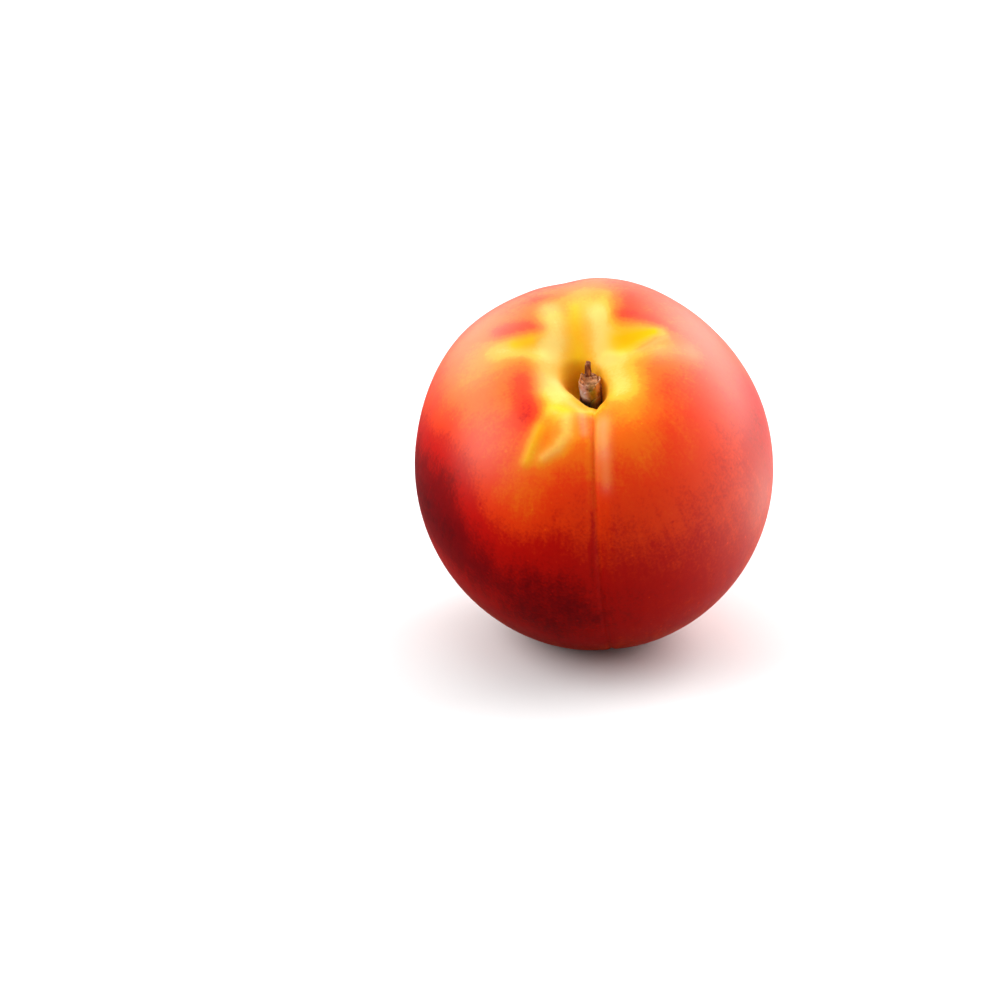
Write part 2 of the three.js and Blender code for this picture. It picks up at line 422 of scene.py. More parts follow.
@dataclass
class Pose:
    """How the fruit's own frame stands in the model's: leant forward, on its resting spot.

    Leans are in degrees and lengths in millimetres. The reach counts roundings.
    """

    lean_forward: float = 28.5
    lean_left: float = 6.6
    rest_spot_depth: float = 1.0
    rest_spot_rounding: float = 0.12
    rounding_reach: float = 20
    origin: Vector = field(default_factory=Vector)
    mappings: list[bpy.types.ShaderNode] = field(default_factory=list)

    def turn(self) -> Euler:
        """The lean, as the angles that a Mapping node takes."""
        return Euler((math.radians(self.lean_forward), -math.radians(self.lean_left), 0.0))

    def matrix(self) -> Matrix:
        """From the fruit's own frame to the model's."""
        return Matrix.Translation(self.origin) @ self.turn().to_matrix().to_4x4()

    def settle(self, fruit: bpy.types.Object, low: Vector, high: Vector) -> None:
        """Leans the fruit, presses its resting spot flat and fits it into its solid's box.

        Args:
            fruit: The fruit, in its own frame.
            low, high: The corners of the box that its solid fills.
        """
        mesh = fruit.data
        mesh.transform(self.turn().to_matrix().to_4x4())
        spots = np.empty(len(mesh.vertices) * 3)
        mesh.vertices.foreach_get("co", spots)
        spots = spots.reshape(-1, 3)
        least, most = spots.min(axis=0), spots.max(axis=0)
        self.origin = (low + high) / 2 - Vector((least + most) / 2)
        self.origin.z = low.z - self.rest_spot_depth * MM - least[2]
        spots += np.array(self.origin)
        rounding = self.rest_spot_rounding * MM
        near = spots[:, 2] < self.rounding_reach * rounding
        spots[near, 2] = rounding * np.logaddexp(0.0, spots[near, 2] / rounding)
        room = np.array(high - low)
        taken = spots.max(axis=0) - spots.min(axis=0)
        centre = np.array([(low.x + high.x) / 2, (low.y + high.y) / 2, low.z])
        spots = centre + (spots - centre) * min(1.0, float((room / taken).min()))
        mesh.vertices.foreach_set("co", spots.ravel())
        mesh.update()
        for mapping in self.mappings:
            mapping.inputs["Location"].default_value = self.origin

    def place(self, material: bpy.types.Material) -> Formula:
        """The place on a piece, for its material.

        Args:
            material: The piece's material.

        Returns:
            The place in the fruit's own frame, in millimetres.
        """
        tree = material.node_tree
        coordinates = tree.nodes.new("ShaderNodeTexCoord")
        mapping = tree.nodes.new("ShaderNodeMapping")
        mapping.vector_type = "TEXTURE"
        self.mappings.append(mapping)
        mapping.inputs["Rotation"].default_value = self.turn()
        mapping.inputs["Scale"].default_value = (MM, MM, MM)
        tree.links.new(coordinates.outputs["Object"], mapping.inputs["Vector"])
        return Formula(tree, mapping.outputs["Vector"])


# ---- The form of the fruit --------------------------------------------------------------


@dataclass(frozen=True)
class Swell:
    """A place where the flesh stands out from, or falls in from, the plain oval."""

    around: float
    polar: float
    rise: float
    spread: float


@dataclass(frozen=True)
class Fold:
    """A short fold in the shoulder: a dip with a lip along one side, sized by the dip."""

    x: float
    y: float
    direction: float
    length: float
    width: float
    depth: float
    lip: float
    lip_side: float = -1.0
    lip_aside: float = 1.5
    lip_length: float = 1.3
    lip_width: float = 0.6


@dataclass(frozen=True)
class Crease:
    """A fine ridge or furrow along a few points, seen from above the stem."""

    points: tuple[Pair, ...]
    width: float
    rise: float


@dataclass
class FruitBody:
    """The grown fruit: an oval with its cavity, suture, back valley, folds and creases.

    Lengths are in millimetres and the angles round the stem in degrees. The polar places and
    reaches of the suture and the back valley are in radians. Each pair is a stretch over which
    something comes in or goes out.
    """

    half_width: float = 33.8
    half_depth: float = 36.3
    half_height: float = 33.0
    mean_radius: float = 34.0
    swells: tuple[Swell, ...] = (
        Swell(-132, 62, 1.3, 0.45),
        Swell(165, 60, 1.1, 0.4),
        Swell(-90, 92, 0.3, 0.5),
        Swell(0, 100, -0.25, 0.8),
    )
    funnel_depth: float = 8.0
    funnel_radius: float = 10.5
    throat_x: float = -0.6
    throat_y: float = 0.2
    throat_depth: float = 6.0
    throat_radius: float = 3.05
    throat_steepness: float = 4.0
    reach: float = 0.94
    reach_around: float = 35.0
    reach_spread: float = 38.0
    mouth_depth: float = 2.2
    mouth_width: float = 2.7
    mouth_aside: float = 1.5
    mouth_begins: Pair = (-1.0, 2.0)
    mouth_ends: Pair = (6.8, 12.6)
    suture_around: float = -5.5
    suture_offset: float = 2.4
    suture_begins: Pair = (2.5, 6.0)
    suture_side: Pair = (0.0, 3.5)
    suture_stem_polar: float = 0.3
    suture_stem_reach: float = 0.55
    furrow_depth: float = 0.28
    furrow_near_stem: float = 0.3
    furrow_width: float = 0.5
    valley_depth: float = 0.18
    valley_near_stem: float = 0.3
    valley_width: float = 4.2
    bank_height: float = 0.32
    bank_aside: float = 2.7
    bank_width: float = 1.2
    bank_polar: float = 0.6
    bank_reach: float = 0.7
    back_around: float = 184.0
    back_side: Pair = (0.0, 4.0)
    back_polar: float = 0.35
    back_depth: float = 0.75
    back_reach: float = 0.6
    back_width: float = 3.4
    back_banks: float = 0.35
    back_bank_aside: float = 6.0
    back_bank_width: float = 2.6
    back_bank_reach: float = 0.35
    folds: tuple[Fold, ...] = (
        Fold(9.8, 4.7, 8, 4.6, 2.6, 1.0, 0.1),
        Fold(-9.8, 6.3, -6, 3.8, 2.1, 0.8, 0.1),
    )
    creases: tuple[Crease, ...] = (
        Crease(((4.6, 3.6), (7.8, 2.4), (11.4, 2.7), (15.8, 5.0)), 0.9, 0.22),
        Crease(((-5.8, -9.8), (-8.5, -13.3), (-10.2, -16.0), (-11.9, -18.9)), 0.8, 0.14),
        Crease(((-3.7, -11.0), (-4.1, -15.6), (-5.8, -18.0), (-9.0, -19.4)), 0.8, 0.12),
        Crease(((-6.6, -13.2), (-7.2, -16.0)), 1.1, -0.2),
    )
    crease_blend: float = 0.6
    top_begins: Pair = (0.0, 0.05)
    tip_height: float = 0.7
    tip_radius: float = 3.0
    waver: float = 0.16
    waver_lumps: float = 0.075
    waver_detail: float = 1.0
    segments: int = 440
    rings: int = 210
    crowding: float = 0.5
    crowding_to_stem: float = 0.36

    def outward(self, polar: Formula, around: Formula) -> tuple[Formula, Formula, Formula]:
        """The unit direction at two angles.

        Args:
            polar: The angle from the stem axis, in radians.
            around: The angle round it.

        Returns:
            The direction's X, Y and Z parts.
        """
        across = polar.maths("SINE")
        return across * around.maths("SINE"), -(across * around.maths("COSINE")), polar.maths("COSINE")

    def swollen(self, program: ShapeProgram, out: Formula) -> Formula:
        """How far the skin stands from the middle.

        Args:
            program: The tree that makes the skin.
            out: The unit direction from the middle.

        Returns:
            The distance, as a share of the plain oval's.
        """
        share = program.size("Plain Share", 1.0)
        for swell in self.swells:
            towards = tuple(heading(swell.around, swell.polar))
            gap = vector_maths(program.tree, "DISTANCE", out, towards)
            share = share + gap.bell(swell.spread) * (swell.rise / self.mean_radius)
        return share

    def by_meridian(self, x: Formula, y: Formula, around: float) -> tuple[Formula, Formula]:
        """Where a point in plan is, measured from a meridian.

        Args:
            x, y: The point.
            around: The meridian's angle, in degrees.

        Returns:
            The distance to the right of the meridian, and the distance out along it.
        """
        turn = math.radians(around)
        aside = x * math.cos(turn) + y * math.sin(turn)
        out = x * math.sin(turn) - y * math.cos(turn)
        return aside, out

    def suture_relief(self, program: ShapeProgram, x: Formula, y: Formula, polar: Formula) -> Formula:
        """The suture's furrow, its valley and the bank on its right.

        Args:
            program: The tree that makes the skin.
            x, y: The point in plan.
            polar: Its angle from the stem axis, in radians.

        Returns:
            How far they move the skin out.
        """
        aside, out = self.by_meridian(x, y, self.suture_around)
        side = aside - self.suture_offset
        near_stem = (polar - self.suture_stem_polar).bell(self.suture_stem_reach)
        depth = program.size("Furrow Depth", self.furrow_depth)
        furrow = (near_stem * self.furrow_near_stem + depth) * side.bell(self.furrow_width)
        hollow = (near_stem * self.valley_near_stem + self.valley_depth) * side.bell(self.valley_width)
        bank = (side - self.bank_aside).bell(self.bank_width)
        bank = bank * (polar - self.bank_polar).bell(self.bank_reach) * self.bank_height
        begun = from_axis(x, y).rise(*self.suture_begins)
        return out.rise(*self.suture_side) * ((bank - furrow) * begun - hollow)

    def back_relief(self, x: Formula, y: Formula, polar: Formula) -> Formula:
        """The shallow valley down the back and its two banks.

        Args:
            x, y: The point in plan.
            polar: Its angle from the stem axis, in radians.

        Returns:
            How far they move the skin out.
        """
        aside, out = self.by_meridian(x, y, self.back_around)
        down = polar - self.back_polar
        hollow = aside.bell(self.back_width) * down.bell(self.back_reach) * self.back_depth
        from_bank = aside.maths("ABSOLUTE") - self.back_bank_aside
        banks = from_bank.bell(self.back_bank_width) * down.bell(self.back_bank_reach) * self.back_banks
        return out.rise(*self.back_side) * (banks - hollow)

    def fold_relief(self, x: Formula, y: Formula, fold: Fold) -> Formula:
        """One fold of the shoulders.

        Args:
            x, y: The point in plan.
            fold: The fold.

        Returns:
            How far it moves the skin out.
        """
        turn = math.radians(fold.direction)
        right, back = x - fold.x, y - fold.y
        along = right * math.cos(turn) + back * math.sin(turn)
        across = back * math.cos(turn) - right * math.sin(turn)
        dip = along.bell(fold.length) * across.bell(fold.width) * fold.depth
        to_lip = across - fold.lip_aside * fold.lip_side * fold.width
        lip = along.bell(fold.lip_length * fold.length) * to_lip.bell(fold.lip_width * fold.width) * fold.lip
        return lip - dip

    def crease_relief(self, x: Formula, y: Formula, crease: Crease) -> Formula:
        """One crease.

        Args:
            x, y: The point in plan.
            crease: The crease.

        Returns:
            How far it moves the skin out.
        """
        flat = combined(x, y, 0.0)
        nearest = None
        for start, end in zip(crease.points, crease.points[1:]):
            gap, _ = distance_to_segment(flat, (*start, 0.0), (*end, 0.0))
            nearest = gap if nearest is None else nearest.maths("SMOOTH_MIN", gap, self.crease_blend)
        return nearest.bell(crease.width) * crease.rise

    def cavity_depth(self, program: ShapeProgram, x: Formula, y: Formula) -> Formula:
        """The stem cavity: a wide funnel, a steep throat and a mouth towards the suture.

        Args:
            program: The tree that makes the skin.
            x, y: The point in plan.

        Returns:
            How far the skin lies below the plain oval.
        """
        radius = from_axis(x, y)
        funnel = radius.bell(program.size("Funnel Radius", self.funnel_radius))
        funnel = funnel * program.size("Funnel Depth", self.funnel_depth)
        right, back = x - self.throat_x, y - self.throat_y
        towards = right.maths("ARCTAN2", -back) - math.radians(self.reach_around)
        reach = towards.bell(math.radians(self.reach_spread)) * self.reach + 1.0
        share = from_axis(right, back) / (reach * program.size("Throat Radius", self.throat_radius))
        throat = (-share.maths("POWER", self.throat_steepness)).maths("EXPONENT")
        throat = throat * program.size("Throat Depth", self.throat_depth)
        aside, out = self.by_meridian(x, y, self.suture_around)
        in_mouth = out.rise(*self.mouth_begins) * (1.0 - radius.rise(*self.mouth_ends))
        mouth = (aside - self.mouth_aside).bell(self.mouth_width) * in_mouth
        return funnel + throat + mouth * program.size("Mouth Depth", self.mouth_depth)

    def build(
        self, effects: "EffectShop", finish: "SkinFinish", material: bpy.types.Material
    ) -> bpy.types.Object:
        """Makes the skin's mesh in the fruit's own frame.

        Args:
            effects: The shared node groups.
            finish: The skin's colours, whose paints are laid on the mesh.
            material: The material that shows them.

        Returns:
            The skin as a closed mesh, in metres.
        """
        program = ShapeProgram("nectarine_skin")
        ball = program.node(
            "GeometryNodeMeshUVSphere",
            segments=program.size("Segments", self.segments, COUNT),
            rings=program.size("Rings", self.rings, COUNT),
        )
        ball_x, ball_y, ball_z = program.position()
        share = ball_z.maths("MAXIMUM", -1.0).maths("MINIMUM", 1.0).maths("ARCCOSINE") / math.pi
        polar = (share * self.crowding_to_stem + (1 - self.crowding_to_stem)) * share * math.pi
        turn = ball_x.maths("ARCTAN2", -ball_y)
        around = turn - turn.maths("SINE") * self.crowding + math.radians(self.suture_around)
        out = self.outward(polar, around)
        swollen = self.swollen(program, combined(*out))
        halves = (
            program.size("Half Width", self.half_width),
            program.size("Half Depth", self.half_depth),
            program.size("Half Height", self.half_height),
        )
        x, y, z = (part * half * swollen for part, half in zip(out, halves))
        on_top = out[2].rise(*self.top_begins)
        rise = self.suture_relief(program, x, y, polar) + self.back_relief(x, y, polar)
        for fold in self.folds:
            rise = rise + self.fold_relief(x, y, fold) * on_top
        for crease in self.creases:
            rise = rise + self.crease_relief(x, y, crease) * on_top
        waver = uneven(combined(x, y, z), self.waver_lumps, self.waver_detail)
        rise = rise + waver * program.size("Waver", self.waver)
        x, y, z = (part + rise * along for part, along in zip((x, y, z), out))
        tip = from_axis(x, y).bell(self.tip_radius) * self.tip_height
        z = z - on_top * self.cavity_depth(program, x, y) - (1.0 - on_top) * tip
        place = combined(x, y, z)
        painted = finish.laid_on(effects, program, ball, place, self.way_out(place))
        shape = program.moved(painted, vector_maths(program.tree, "MULTIPLY", place, (MM, MM, MM)))
        return program.run(program.dressed(shape, material, "Skin"))

    def way_out(self, place: Formula) -> Formula:
        """The direction of a place from the middle, with the oval made round.

        Args:
            place: The place, in millimetres.

        Returns:
            The unit vector towards it.
        """
        halves = (1 / self.half_width, 1 / self.half_depth, 1 / self.half_height)
        round_place = vector_maths(place.tree, "MULTIPLY", place, halves)
        return vector_maths(place.tree, "NORMALIZE", round_place)


# ---- The stub of the stem ---------------------------------------------------------------


@dataclass
class StemStub:
    """The dried woody stub in the cavity: a ribbed core, bud scales and a nib on top.

    Lengths are in millimetres, and tier_turn and lean_back in degrees.
    """

    foot: float = 15.5
    top: float = 24.6
    aside: float = 0.9
    forward: float = 1.8
    lean_back: float = 11.0
    grain_detail: float = 3.0

    core_sides: int = 108
    core_levels: int = 48
    core_rings: int = 7
    radius: float = 1.95
    swell: float = 0.06
    ribs: float = 9.0
    rib_depth: float = 0.11
    rib_twist: float = 1.4
    core_lumps: float = 3.2
    core_lumps_up: float = 1.6
    core_unevenness: float = 0.55
    top_taper: float = 0.5
    top_taper_steepness: float = 6.0
    top_slant: float = 0.42
    top_ledges: float = 0.34
    ledge_spacing: float = 1.55
    ledge_narrowing: float = 0.5
    break_lumps: float = 0.9
    break_depth: float = 1.2
    shoulder: float = 1.4
    shoulder_begins: Pair = (0.7, 1.5)

    nib_sides: int = 28
    nib_levels: int = 14
    nib_rings: int = 3
    nib_height: float = 2.9
    nib_sunk: float = 0.9
    nib_radius: float = 0.66
    nib_tip_radius: float = 0.52
    nib_x: float = -0.1
    nib_y: float = 1.1
    nib_bend: float = 0.2
    nib_lean: float = 0.4
    knot_lumps: float = 1.6
    knot_rate_up: float = 3.0
    knot_depth: float = 0.42
    nib_broken: float = 0.8

    plate_points: tuple[int, int, int] = (9, 2, 8)
    scales: int = 12
    scales_to_tier: int = 3
    tier_top: float = 9.3
    tier_step: float = 1.4
    tier_turn: float = 62.0
    tier_growth: float = 0.02
    scale_width: float = 3.5
    scale_height: float = 2.3
    scale_thickness: float = 0.5
    scale_thinning: float = 0.55
    scale_flare: float = 0.2
    scale_roundness: float = 2.2
    scale_sunk: float = 0.2
    scale_drift: float = 0.25
    scale_sizes: Pair = (0.85, 1.1)
    corner_steepness: float = 4.0
    corner_cut: float = 0.6
    corner_drop: float = 0.7
    ragged_lumps: float = 1.3
    ragged_detail: float = 2.0
    ragged_depth: float = 0.5
    seed: int = 11

    def core(self, program: ShapeProgram) -> Formula:
        """The ribbed, cracked core with its broken top.

        Args:
            program: The tree that makes the stub.

        Returns:
            The core, with its foot at the origin.
        """
        post, post_x, post_y, share = program.post(self.core_sides, self.core_levels, self.core_rings)
        turn = post_x.maths("ARCTAN2", post_y)
        rounds = (post_x * self.core_lumps, post_y * self.core_lumps, share * self.core_lumps_up)
        grain = uneven(combined(*rounds), 1.0, self.grain_detail)
        rib = (turn * self.ribs + share * self.rib_twist).maths("COSINE") * self.rib_depth
        swell = (share * math.pi).maths("SINE") * self.swell
        girth = swell + rib + grain * self.core_unevenness + program.size("Stub Radius", self.radius)
        girth = girth - share.maths("POWER", self.top_taper_steepness) * self.top_taper
        x, y = post_x * girth, post_y * girth
        broken = uneven(combined(x, y, 0.0), self.break_lumps, self.grain_detail) * self.break_depth
        ledge = ((y + broken) * (math.tau / self.ledge_spacing)).maths("SINE") * self.top_ledges
        ledge = ledge * (1.0 - (x * self.ledge_narrowing).maths("ABSOLUTE"))
        top = y * self.top_slant + broken + ledge
        top = top + (-x).rise(*self.shoulder_begins) * self.shoulder
        z = share * (top + program.size("Stub Height", self.top - self.foot))
        return program.moved(post, combined(x, y, z))

    def plate(self, program: ShapeProgram) -> Formula:
        """One dried scale: a broad curved plate with a blunt, ragged top.

        Args:
            program: The tree that makes the stub.

        Returns:
            The scale, which hangs down from its own level.
        """
        columns, layers, rows = self.plate_points
        plate = program.node("GeometryNodeMeshCube", vertices_x=columns, vertices_y=layers, vertices_z=rows)
        side, through, lift = program.position()
        share = lift + 0.5
        corner = (side * 2.0).maths("POWER", self.corner_steepness)
        x = side * self.scale_width
        thin = 1.0 - share * self.scale_thinning
        y = through * thin * self.scale_thickness + share * share * self.scale_flare
        y = y - x * x / (self.scale_roundness * self.radius)
        ragged = uneven(combined(x, y, lift), self.ragged_lumps, self.ragged_detail) * self.ragged_depth
        height = (1.0 - corner * self.corner_cut + ragged) * self.scale_height
        return program.moved(plate, combined(x, y, (share - 1.0) * height - corner * self.corner_drop))

    def bud_scales(self, program: ShapeProgram) -> Formula:
        """The dried scales, in overlapping tiers round the core.

        Args:
            program: The tree that makes the stub.

        Returns:
            The scales, as instances of one plate.
        """
        shaped = self.plate(program)
        index = program.node("GeometryNodeInputIndex")
        limits = (-self.scale_drift, self.scale_drift)
        drift = self.draw(index, program.size("Seed", self.seed, COUNT), limits)
        tier = (index / self.scales_to_tier).maths("FLOOR")
        turn = (index - tier * self.scales_to_tier) * (math.tau / self.scales_to_tier) + drift
        turn = turn + tier * math.radians(self.tier_turn)
        reach = tier * self.tier_growth + self.radius - self.scale_sunk
        level = self.tier_top - tier * self.tier_step + drift
        points = program.node(
            "GeometryNodePoints",
            count=program.size("Scales", self.scales, COUNT),
            position=combined(-(turn.maths("SINE") * reach), turn.maths("COSINE") * reach, level),
        )
        size = self.draw(index, program.size("Size Seed", self.seed + 1, COUNT), self.scale_sizes)
        return program.node(
            "GeometryNodeInstanceOnPoints",
            points=points,
            instance=shaped,
            rotation=program.node("FunctionNodeEulerToRotation", euler=combined(0.0, 0.0, turn)),
            scale=combined(size, size, size),
        )

    def draw(self, index: Formula, seed: Formula, limits: Pair) -> Formula:
        """A random number for each point.

        Args:
            index: The point's number.
            seed: The seed of the draw.
            limits: The least and the greatest number.

        Returns:
            The number.
        """
        node = index.tree.nodes.new("FunctionNodeRandomValue")
        node.data_type = "FLOAT"
        node.inputs[RANDOM_LOW].default_value = limits[0]
        node.inputs[RANDOM_HIGH].default_value = limits[1]
        plug(index.tree, node.inputs["ID"], index)
        plug(index.tree, node.inputs["Seed"], seed)
        return Formula(index.tree, node.outputs[RANDOM_RESULT])

    def nib(self, program: ShapeProgram) -> Formula:
        """The small crooked remnant of the twig that stands on the core.

        Args:
            program: The tree that makes the stub.

        Returns:
            The nib where it stands on the core.
        """
        post, post_x, post_y, share = program.post(self.nib_sides, self.nib_levels, self.nib_rings)
        spot = combined(post_x, post_y, share * self.knot_rate_up)
        knots = uneven(spot, self.knot_lumps, self.grain_detail)
        narrowing = self.nib_tip_radius - self.nib_radius
        girth = share * narrowing + knots * self.knot_depth + self.nib_radius
        x = post_x * girth + share * share * self.nib_bend + self.nib_x
        y = post_y * girth + share * self.nib_lean + self.nib_y
        height = program.size("Nib Height", self.nib_height + self.nib_sunk)
        base = self.top - self.foot - self.nib_sunk
        z = share * (knots * self.nib_broken + height) + base
        return program.moved(post, combined(x, y, z))

    def build(
        self, pose: Pose, bark: bpy.types.Material, husk: bpy.types.Material, twig: bpy.types.Material
    ) -> bpy.types.Object:
        """Makes the stub where it stands in the model.

        Args:
            pose: How the fruit lies.
            bark: The finish of the core.
            husk: The finish of the bud scales.
            twig: The finish of the nib.

        Returns:
            The stub as one mesh.
        """
        program = ShapeProgram("stem_stub")
        stub = program.run(
            program.dressed(self.core(program), bark, "Bark"),
            program.dressed(self.bud_scales(program), husk, "Husk"),
            program.dressed(self.nib(program), twig, "Twig"),
        )
        lean = Matrix.Rotation(math.radians(-self.lean_back), 4, "X")
        stand = Matrix.Translation((self.aside, -self.forward, self.foot)) @ lean
        stub.data.transform(pose.matrix() @ Matrix.Diagonal((MM, MM, MM, 1.0)) @ stand)
        return stub


# ---- Finishes ---------------------------------------------------------------------------


class Paint(Enum):
    """What a streak does to the skin's colour. The wax is a pale waxy bloom that is mostly painted sheen;
    the cream is partly pale skin and partly painted highlight; the umber is painted shade in the suture's
    furrow and at the stub's foot.
    """

    BLUSH = "blush"
    # Pale yellow: partly pale skin, partly painted highlight on lips, ridges and banks.
    PALE_AND_HIGHLIGHT = "cream"
    GOLD = "gold"
    # A pale waxy bloom, mostly painted sheen standing in for the soft reflection of the lights.
    WAX_AND_SHEEN = "wax"
    # A dark brown of painted shade, in the suture's furrow and in the cavity at the stub's foot.
    PAINTED_SHADE = "umber"


@dataclass(frozen=True)
class Wash:
    """A broad soft patch round one direction, which adds to a paint or takes from it."""

    around: float
    polar: float
    spread: float
    amount: float


@dataclass(frozen=True)
class Streak:
    """A soft streak on the upper skin, along a few points in plan, in millimetres."""

    paint: Paint
    points: tuple[Pair, ...]
    widths: Pair
    amount: float


@dataclass(frozen=True)
class Grain:
    """Uneven noise about 0: its lumps to a unit of length each way, and how strong it is."""

    lumps: Triple
    contrast: float
    detail: float = 2.0


@dataclass(frozen=True)
class Specks:
    """Round specks: sizes in millimetres, and what a speck adds to the blush."""

    spacing: float
    size: float
    shift: Triple
    blush: float


class Workplace(Enum):
    """Where a node group works: in a material, or on the points of a mesh."""

    MATERIAL = "ShaderNode"
    POINTS = "GeometryNode"


def effect_inputs(name: str, inputs: dict[str, str], output: str, where: Workplace) -> list[Formula]:
    """Starts a node group with named inputs and one named number that it puts out.

    Args:
        name: The group's name.
        inputs: The inputs' names, and their types.
        output: The output's name.
        where: Where the group is used.

    Returns:
        The inputs, for use in the group.
    """
    tree = bpy.data.node_groups.new(name, where.value + "Tree")
    for socket, kind in inputs.items():
        tree.interface.new_socket(name=socket, in_out="INPUT", socket_type=kind)
    tree.interface.new_socket(name=output, in_out="OUTPUT", socket_type=NUMBER)
    entry = tree.nodes.new("NodeGroupInput")
    return [Formula(tree, socket) for socket in entry.outputs[: len(inputs)]]


def effect_group(result: Formula) -> bpy.types.NodeTree:
    """Ends a node group.

    Args:
        result: What the group puts out.

    Returns:
        The group, ready for use.
    """
    last = result.tree.nodes.new("NodeGroupOutput")
    plug(result.tree, last.inputs[0], result)
    return result.tree


def use_group(group: bpy.types.NodeTree, tree: bpy.types.NodeTree, **inputs: object) -> Formula:
    """Puts a group in a tree.

    Args:
        group: The group.
        tree: The tree to put it in.
        inputs: The group's inputs, with _ for a space.

    Returns:
        What the group puts out.
    """
    node = tree.nodes.new(tree.bl_idname.replace("Tree", "Group"))
    node.node_tree = group
    for name, value in inputs.items():
        plug(tree, node.inputs[name.replace("_", " ").title()], value)
    return Formula(tree, node.outputs[0])


class EffectShop:
    """The node groups that the finishes share, each built once."""

    speck_strengths: Pair = (0.35, 0.9)

    def __init__(self) -> None:
        """Builds the groups."""
        self.stain_or_light = self.streak_group("soft_stain_or_light", Workplace.MATERIAL)
        self.streak = self.streak_group("soft_streak", Workplace.POINTS)
        self.wash = self.wash_group()
        self.speckle = self.speckle_group()
        self.grain = self.grain_group()

    def wash_group(self) -> bpy.types.NodeTree:
        """A soft patch round one direction.

        Returns:
            A group that adds the patch to what was there before.
        """
        inputs = {"Out": VECTOR, "Towards": VECTOR, "Spread": NUMBER, "Amount": NUMBER, "Before": NUMBER}
        out, towards, spread, amount, before = effect_inputs("soft_wash", inputs, "Value", Workplace.POINTS)
        gap = vector_maths(out.tree, "DISTANCE", out, towards)
        return effect_group(gap.bell(spread) * amount + before)

    def streak_group(self, name: str, where: Workplace) -> bpy.types.NodeTree:
        """A soft line between two places, which may widen or narrow on the way.

        Args:
            name: The group's name.
            where: Where the group is used.

        Returns:
            A group whose mask is no less than the mask from before.
        """
        inputs = {
            "Place": VECTOR,
            "Start": VECTOR,
            "End": VECTOR,
            "Start Width": NUMBER,
            "End Width": NUMBER,
            "Before": NUMBER,
        }
        place, start, end, start_width, end_width, before = effect_inputs(name, inputs, "Mask", where)
        gap, share = distance_to_segment(place, start, end)
        mask = gap.bell(start_width + (end_width - start_width) * share)
        return effect_group(mask.maths("MAXIMUM", before))

    def speckle_group(self) -> bpy.types.NodeTree:
        """Round specks, scattered one to a cell and of uneven strength.

        Returns:
            A group that puts out their mask.
        """
        inputs = {"Place": VECTOR, "Spacing": NUMBER, "Size": NUMBER, "Shift": VECTOR}
        place, spacing, size, shift = effect_inputs("speckles", inputs, "Mask", Workplace.MATERIAL)
        cells = place.tree.nodes.new("ShaderNodeTexVoronoi")
        plug(place.tree, cells.inputs["Vector"], vector_maths(place.tree, "ADD", place, shift))
        plug(place.tree, cells.inputs["Scale"], 1.0 / spacing)
        strength, _, _ = parts_of(Formula(place.tree, cells.outputs["Color"]))
        gap = Formula(place.tree, cells.outputs["Distance"]) * spacing
        return effect_group(gap.bell(size) * strength.rise(*self.speck_strengths))

    def grain_group(self) -> bpy.types.NodeTree:
        """Noise about 0, stretched along an axis for bark or even all round for skin.

        Returns:
            A group that puts out the noise.
        """
        inputs = {"Place": VECTOR, "Lumps": VECTOR, "Detail": NUMBER, "Contrast": NUMBER}
        place, lumps, detail, contrast = effect_inputs("grain", inputs, "Value", Workplace.MATERIAL)
        spot = vector_maths(place.tree, "MULTIPLY", place, lumps)
        return effect_group(uneven(spot, 1.0, detail) * contrast)

    def grained(self, place: Formula, grain: Grain) -> Formula:
        """The shared grain.

        Args:
            place: Where it is read, a vector.
            grain: Its lumps, detail and contrast.

        Returns:
            Noise about 0.
        """
        settings = {"lumps": grain.lumps, "detail": grain.detail, "contrast": grain.contrast}
        return use_group(self.grain, place.tree, place=place, **settings)

    def specked(self, place: Formula, specks: Specks) -> Formula:
        """The shared specks.

        Args:
            place: Where they are read, a vector.
            specks: Their spacing, their size and the shift of their pattern.

        Returns:
            Their mask.
        """
        settings = {"spacing": specks.spacing, "size": specks.size, "shift": specks.shift}
        return use_group(self.speckle, place.tree, place=place, **settings)


def ramp(value: Formula, stops: Stops) -> Formula:
    """The colour at a value.

    Args:
        value: A number from 0 to 1.
        stops: The numbers that have a colour of their own, and the colours.

    Returns:
        The colour, eased between the stops.
    """
    node = value.tree.nodes.new("ShaderNodeValToRGB")
    node.color_ramp.interpolation = "EASE"
    elements = node.color_ramp.elements
    while len(elements) < len(stops):
        elements.new(0.5)
    for element, (spot, colour) in zip(elements, stops):
        element.position = spot
        element.color = colour
    plug(value.tree, node.inputs[0], value)
    return Formula(value.tree, node.outputs["Color"])


def mixed(share: Formula, base: Formula, over: Formula | Colour) -> Formula:
    """One colour laid over another.

    Args:
        share: How much of the upper colour shows, kept between 0 and 1.
        base: The colour below.
        over: The colour above.

    Returns:
        The colour that is seen.
    """
    tree = share.tree
    node = tree.nodes.new("ShaderNodeMix")
    node.data_type = "RGBA"
    plug(tree, node.inputs[0], share)
    plug(tree, node.inputs[MIX_BASE], base)
    plug(tree, node.inputs[MIX_OVER], over)
    return Formula(tree, node.outputs[MIX_RESULT])


def bumped(height: Formula, depth: float) -> Formula:
    """A surface with a fine relief.

    Args:
        height: The relief, in shares of its depth.
        depth: How high a share of 1 stands, in metres.

    Returns:
        The relief's normal.
    """
    node = height.tree.nodes.new("ShaderNodeBump")
    node.inputs["Distance"].default_value = depth
    plug(height.tree, node.inputs["Height"], height)
    return Formula(height.tree, node.outputs["Normal"])


def new_material(name: str) -> tuple[bpy.types.Material, bpy.types.ShaderNode]:
    """A material that uses nodes.

    Args:
        name: The material's name.

    Returns:
        The material and its Principled shader.
    """
    material = bpy.data.materials.new(name)
    material.use_nodes = True
    return material, material.node_tree.nodes["Principled BSDF"]


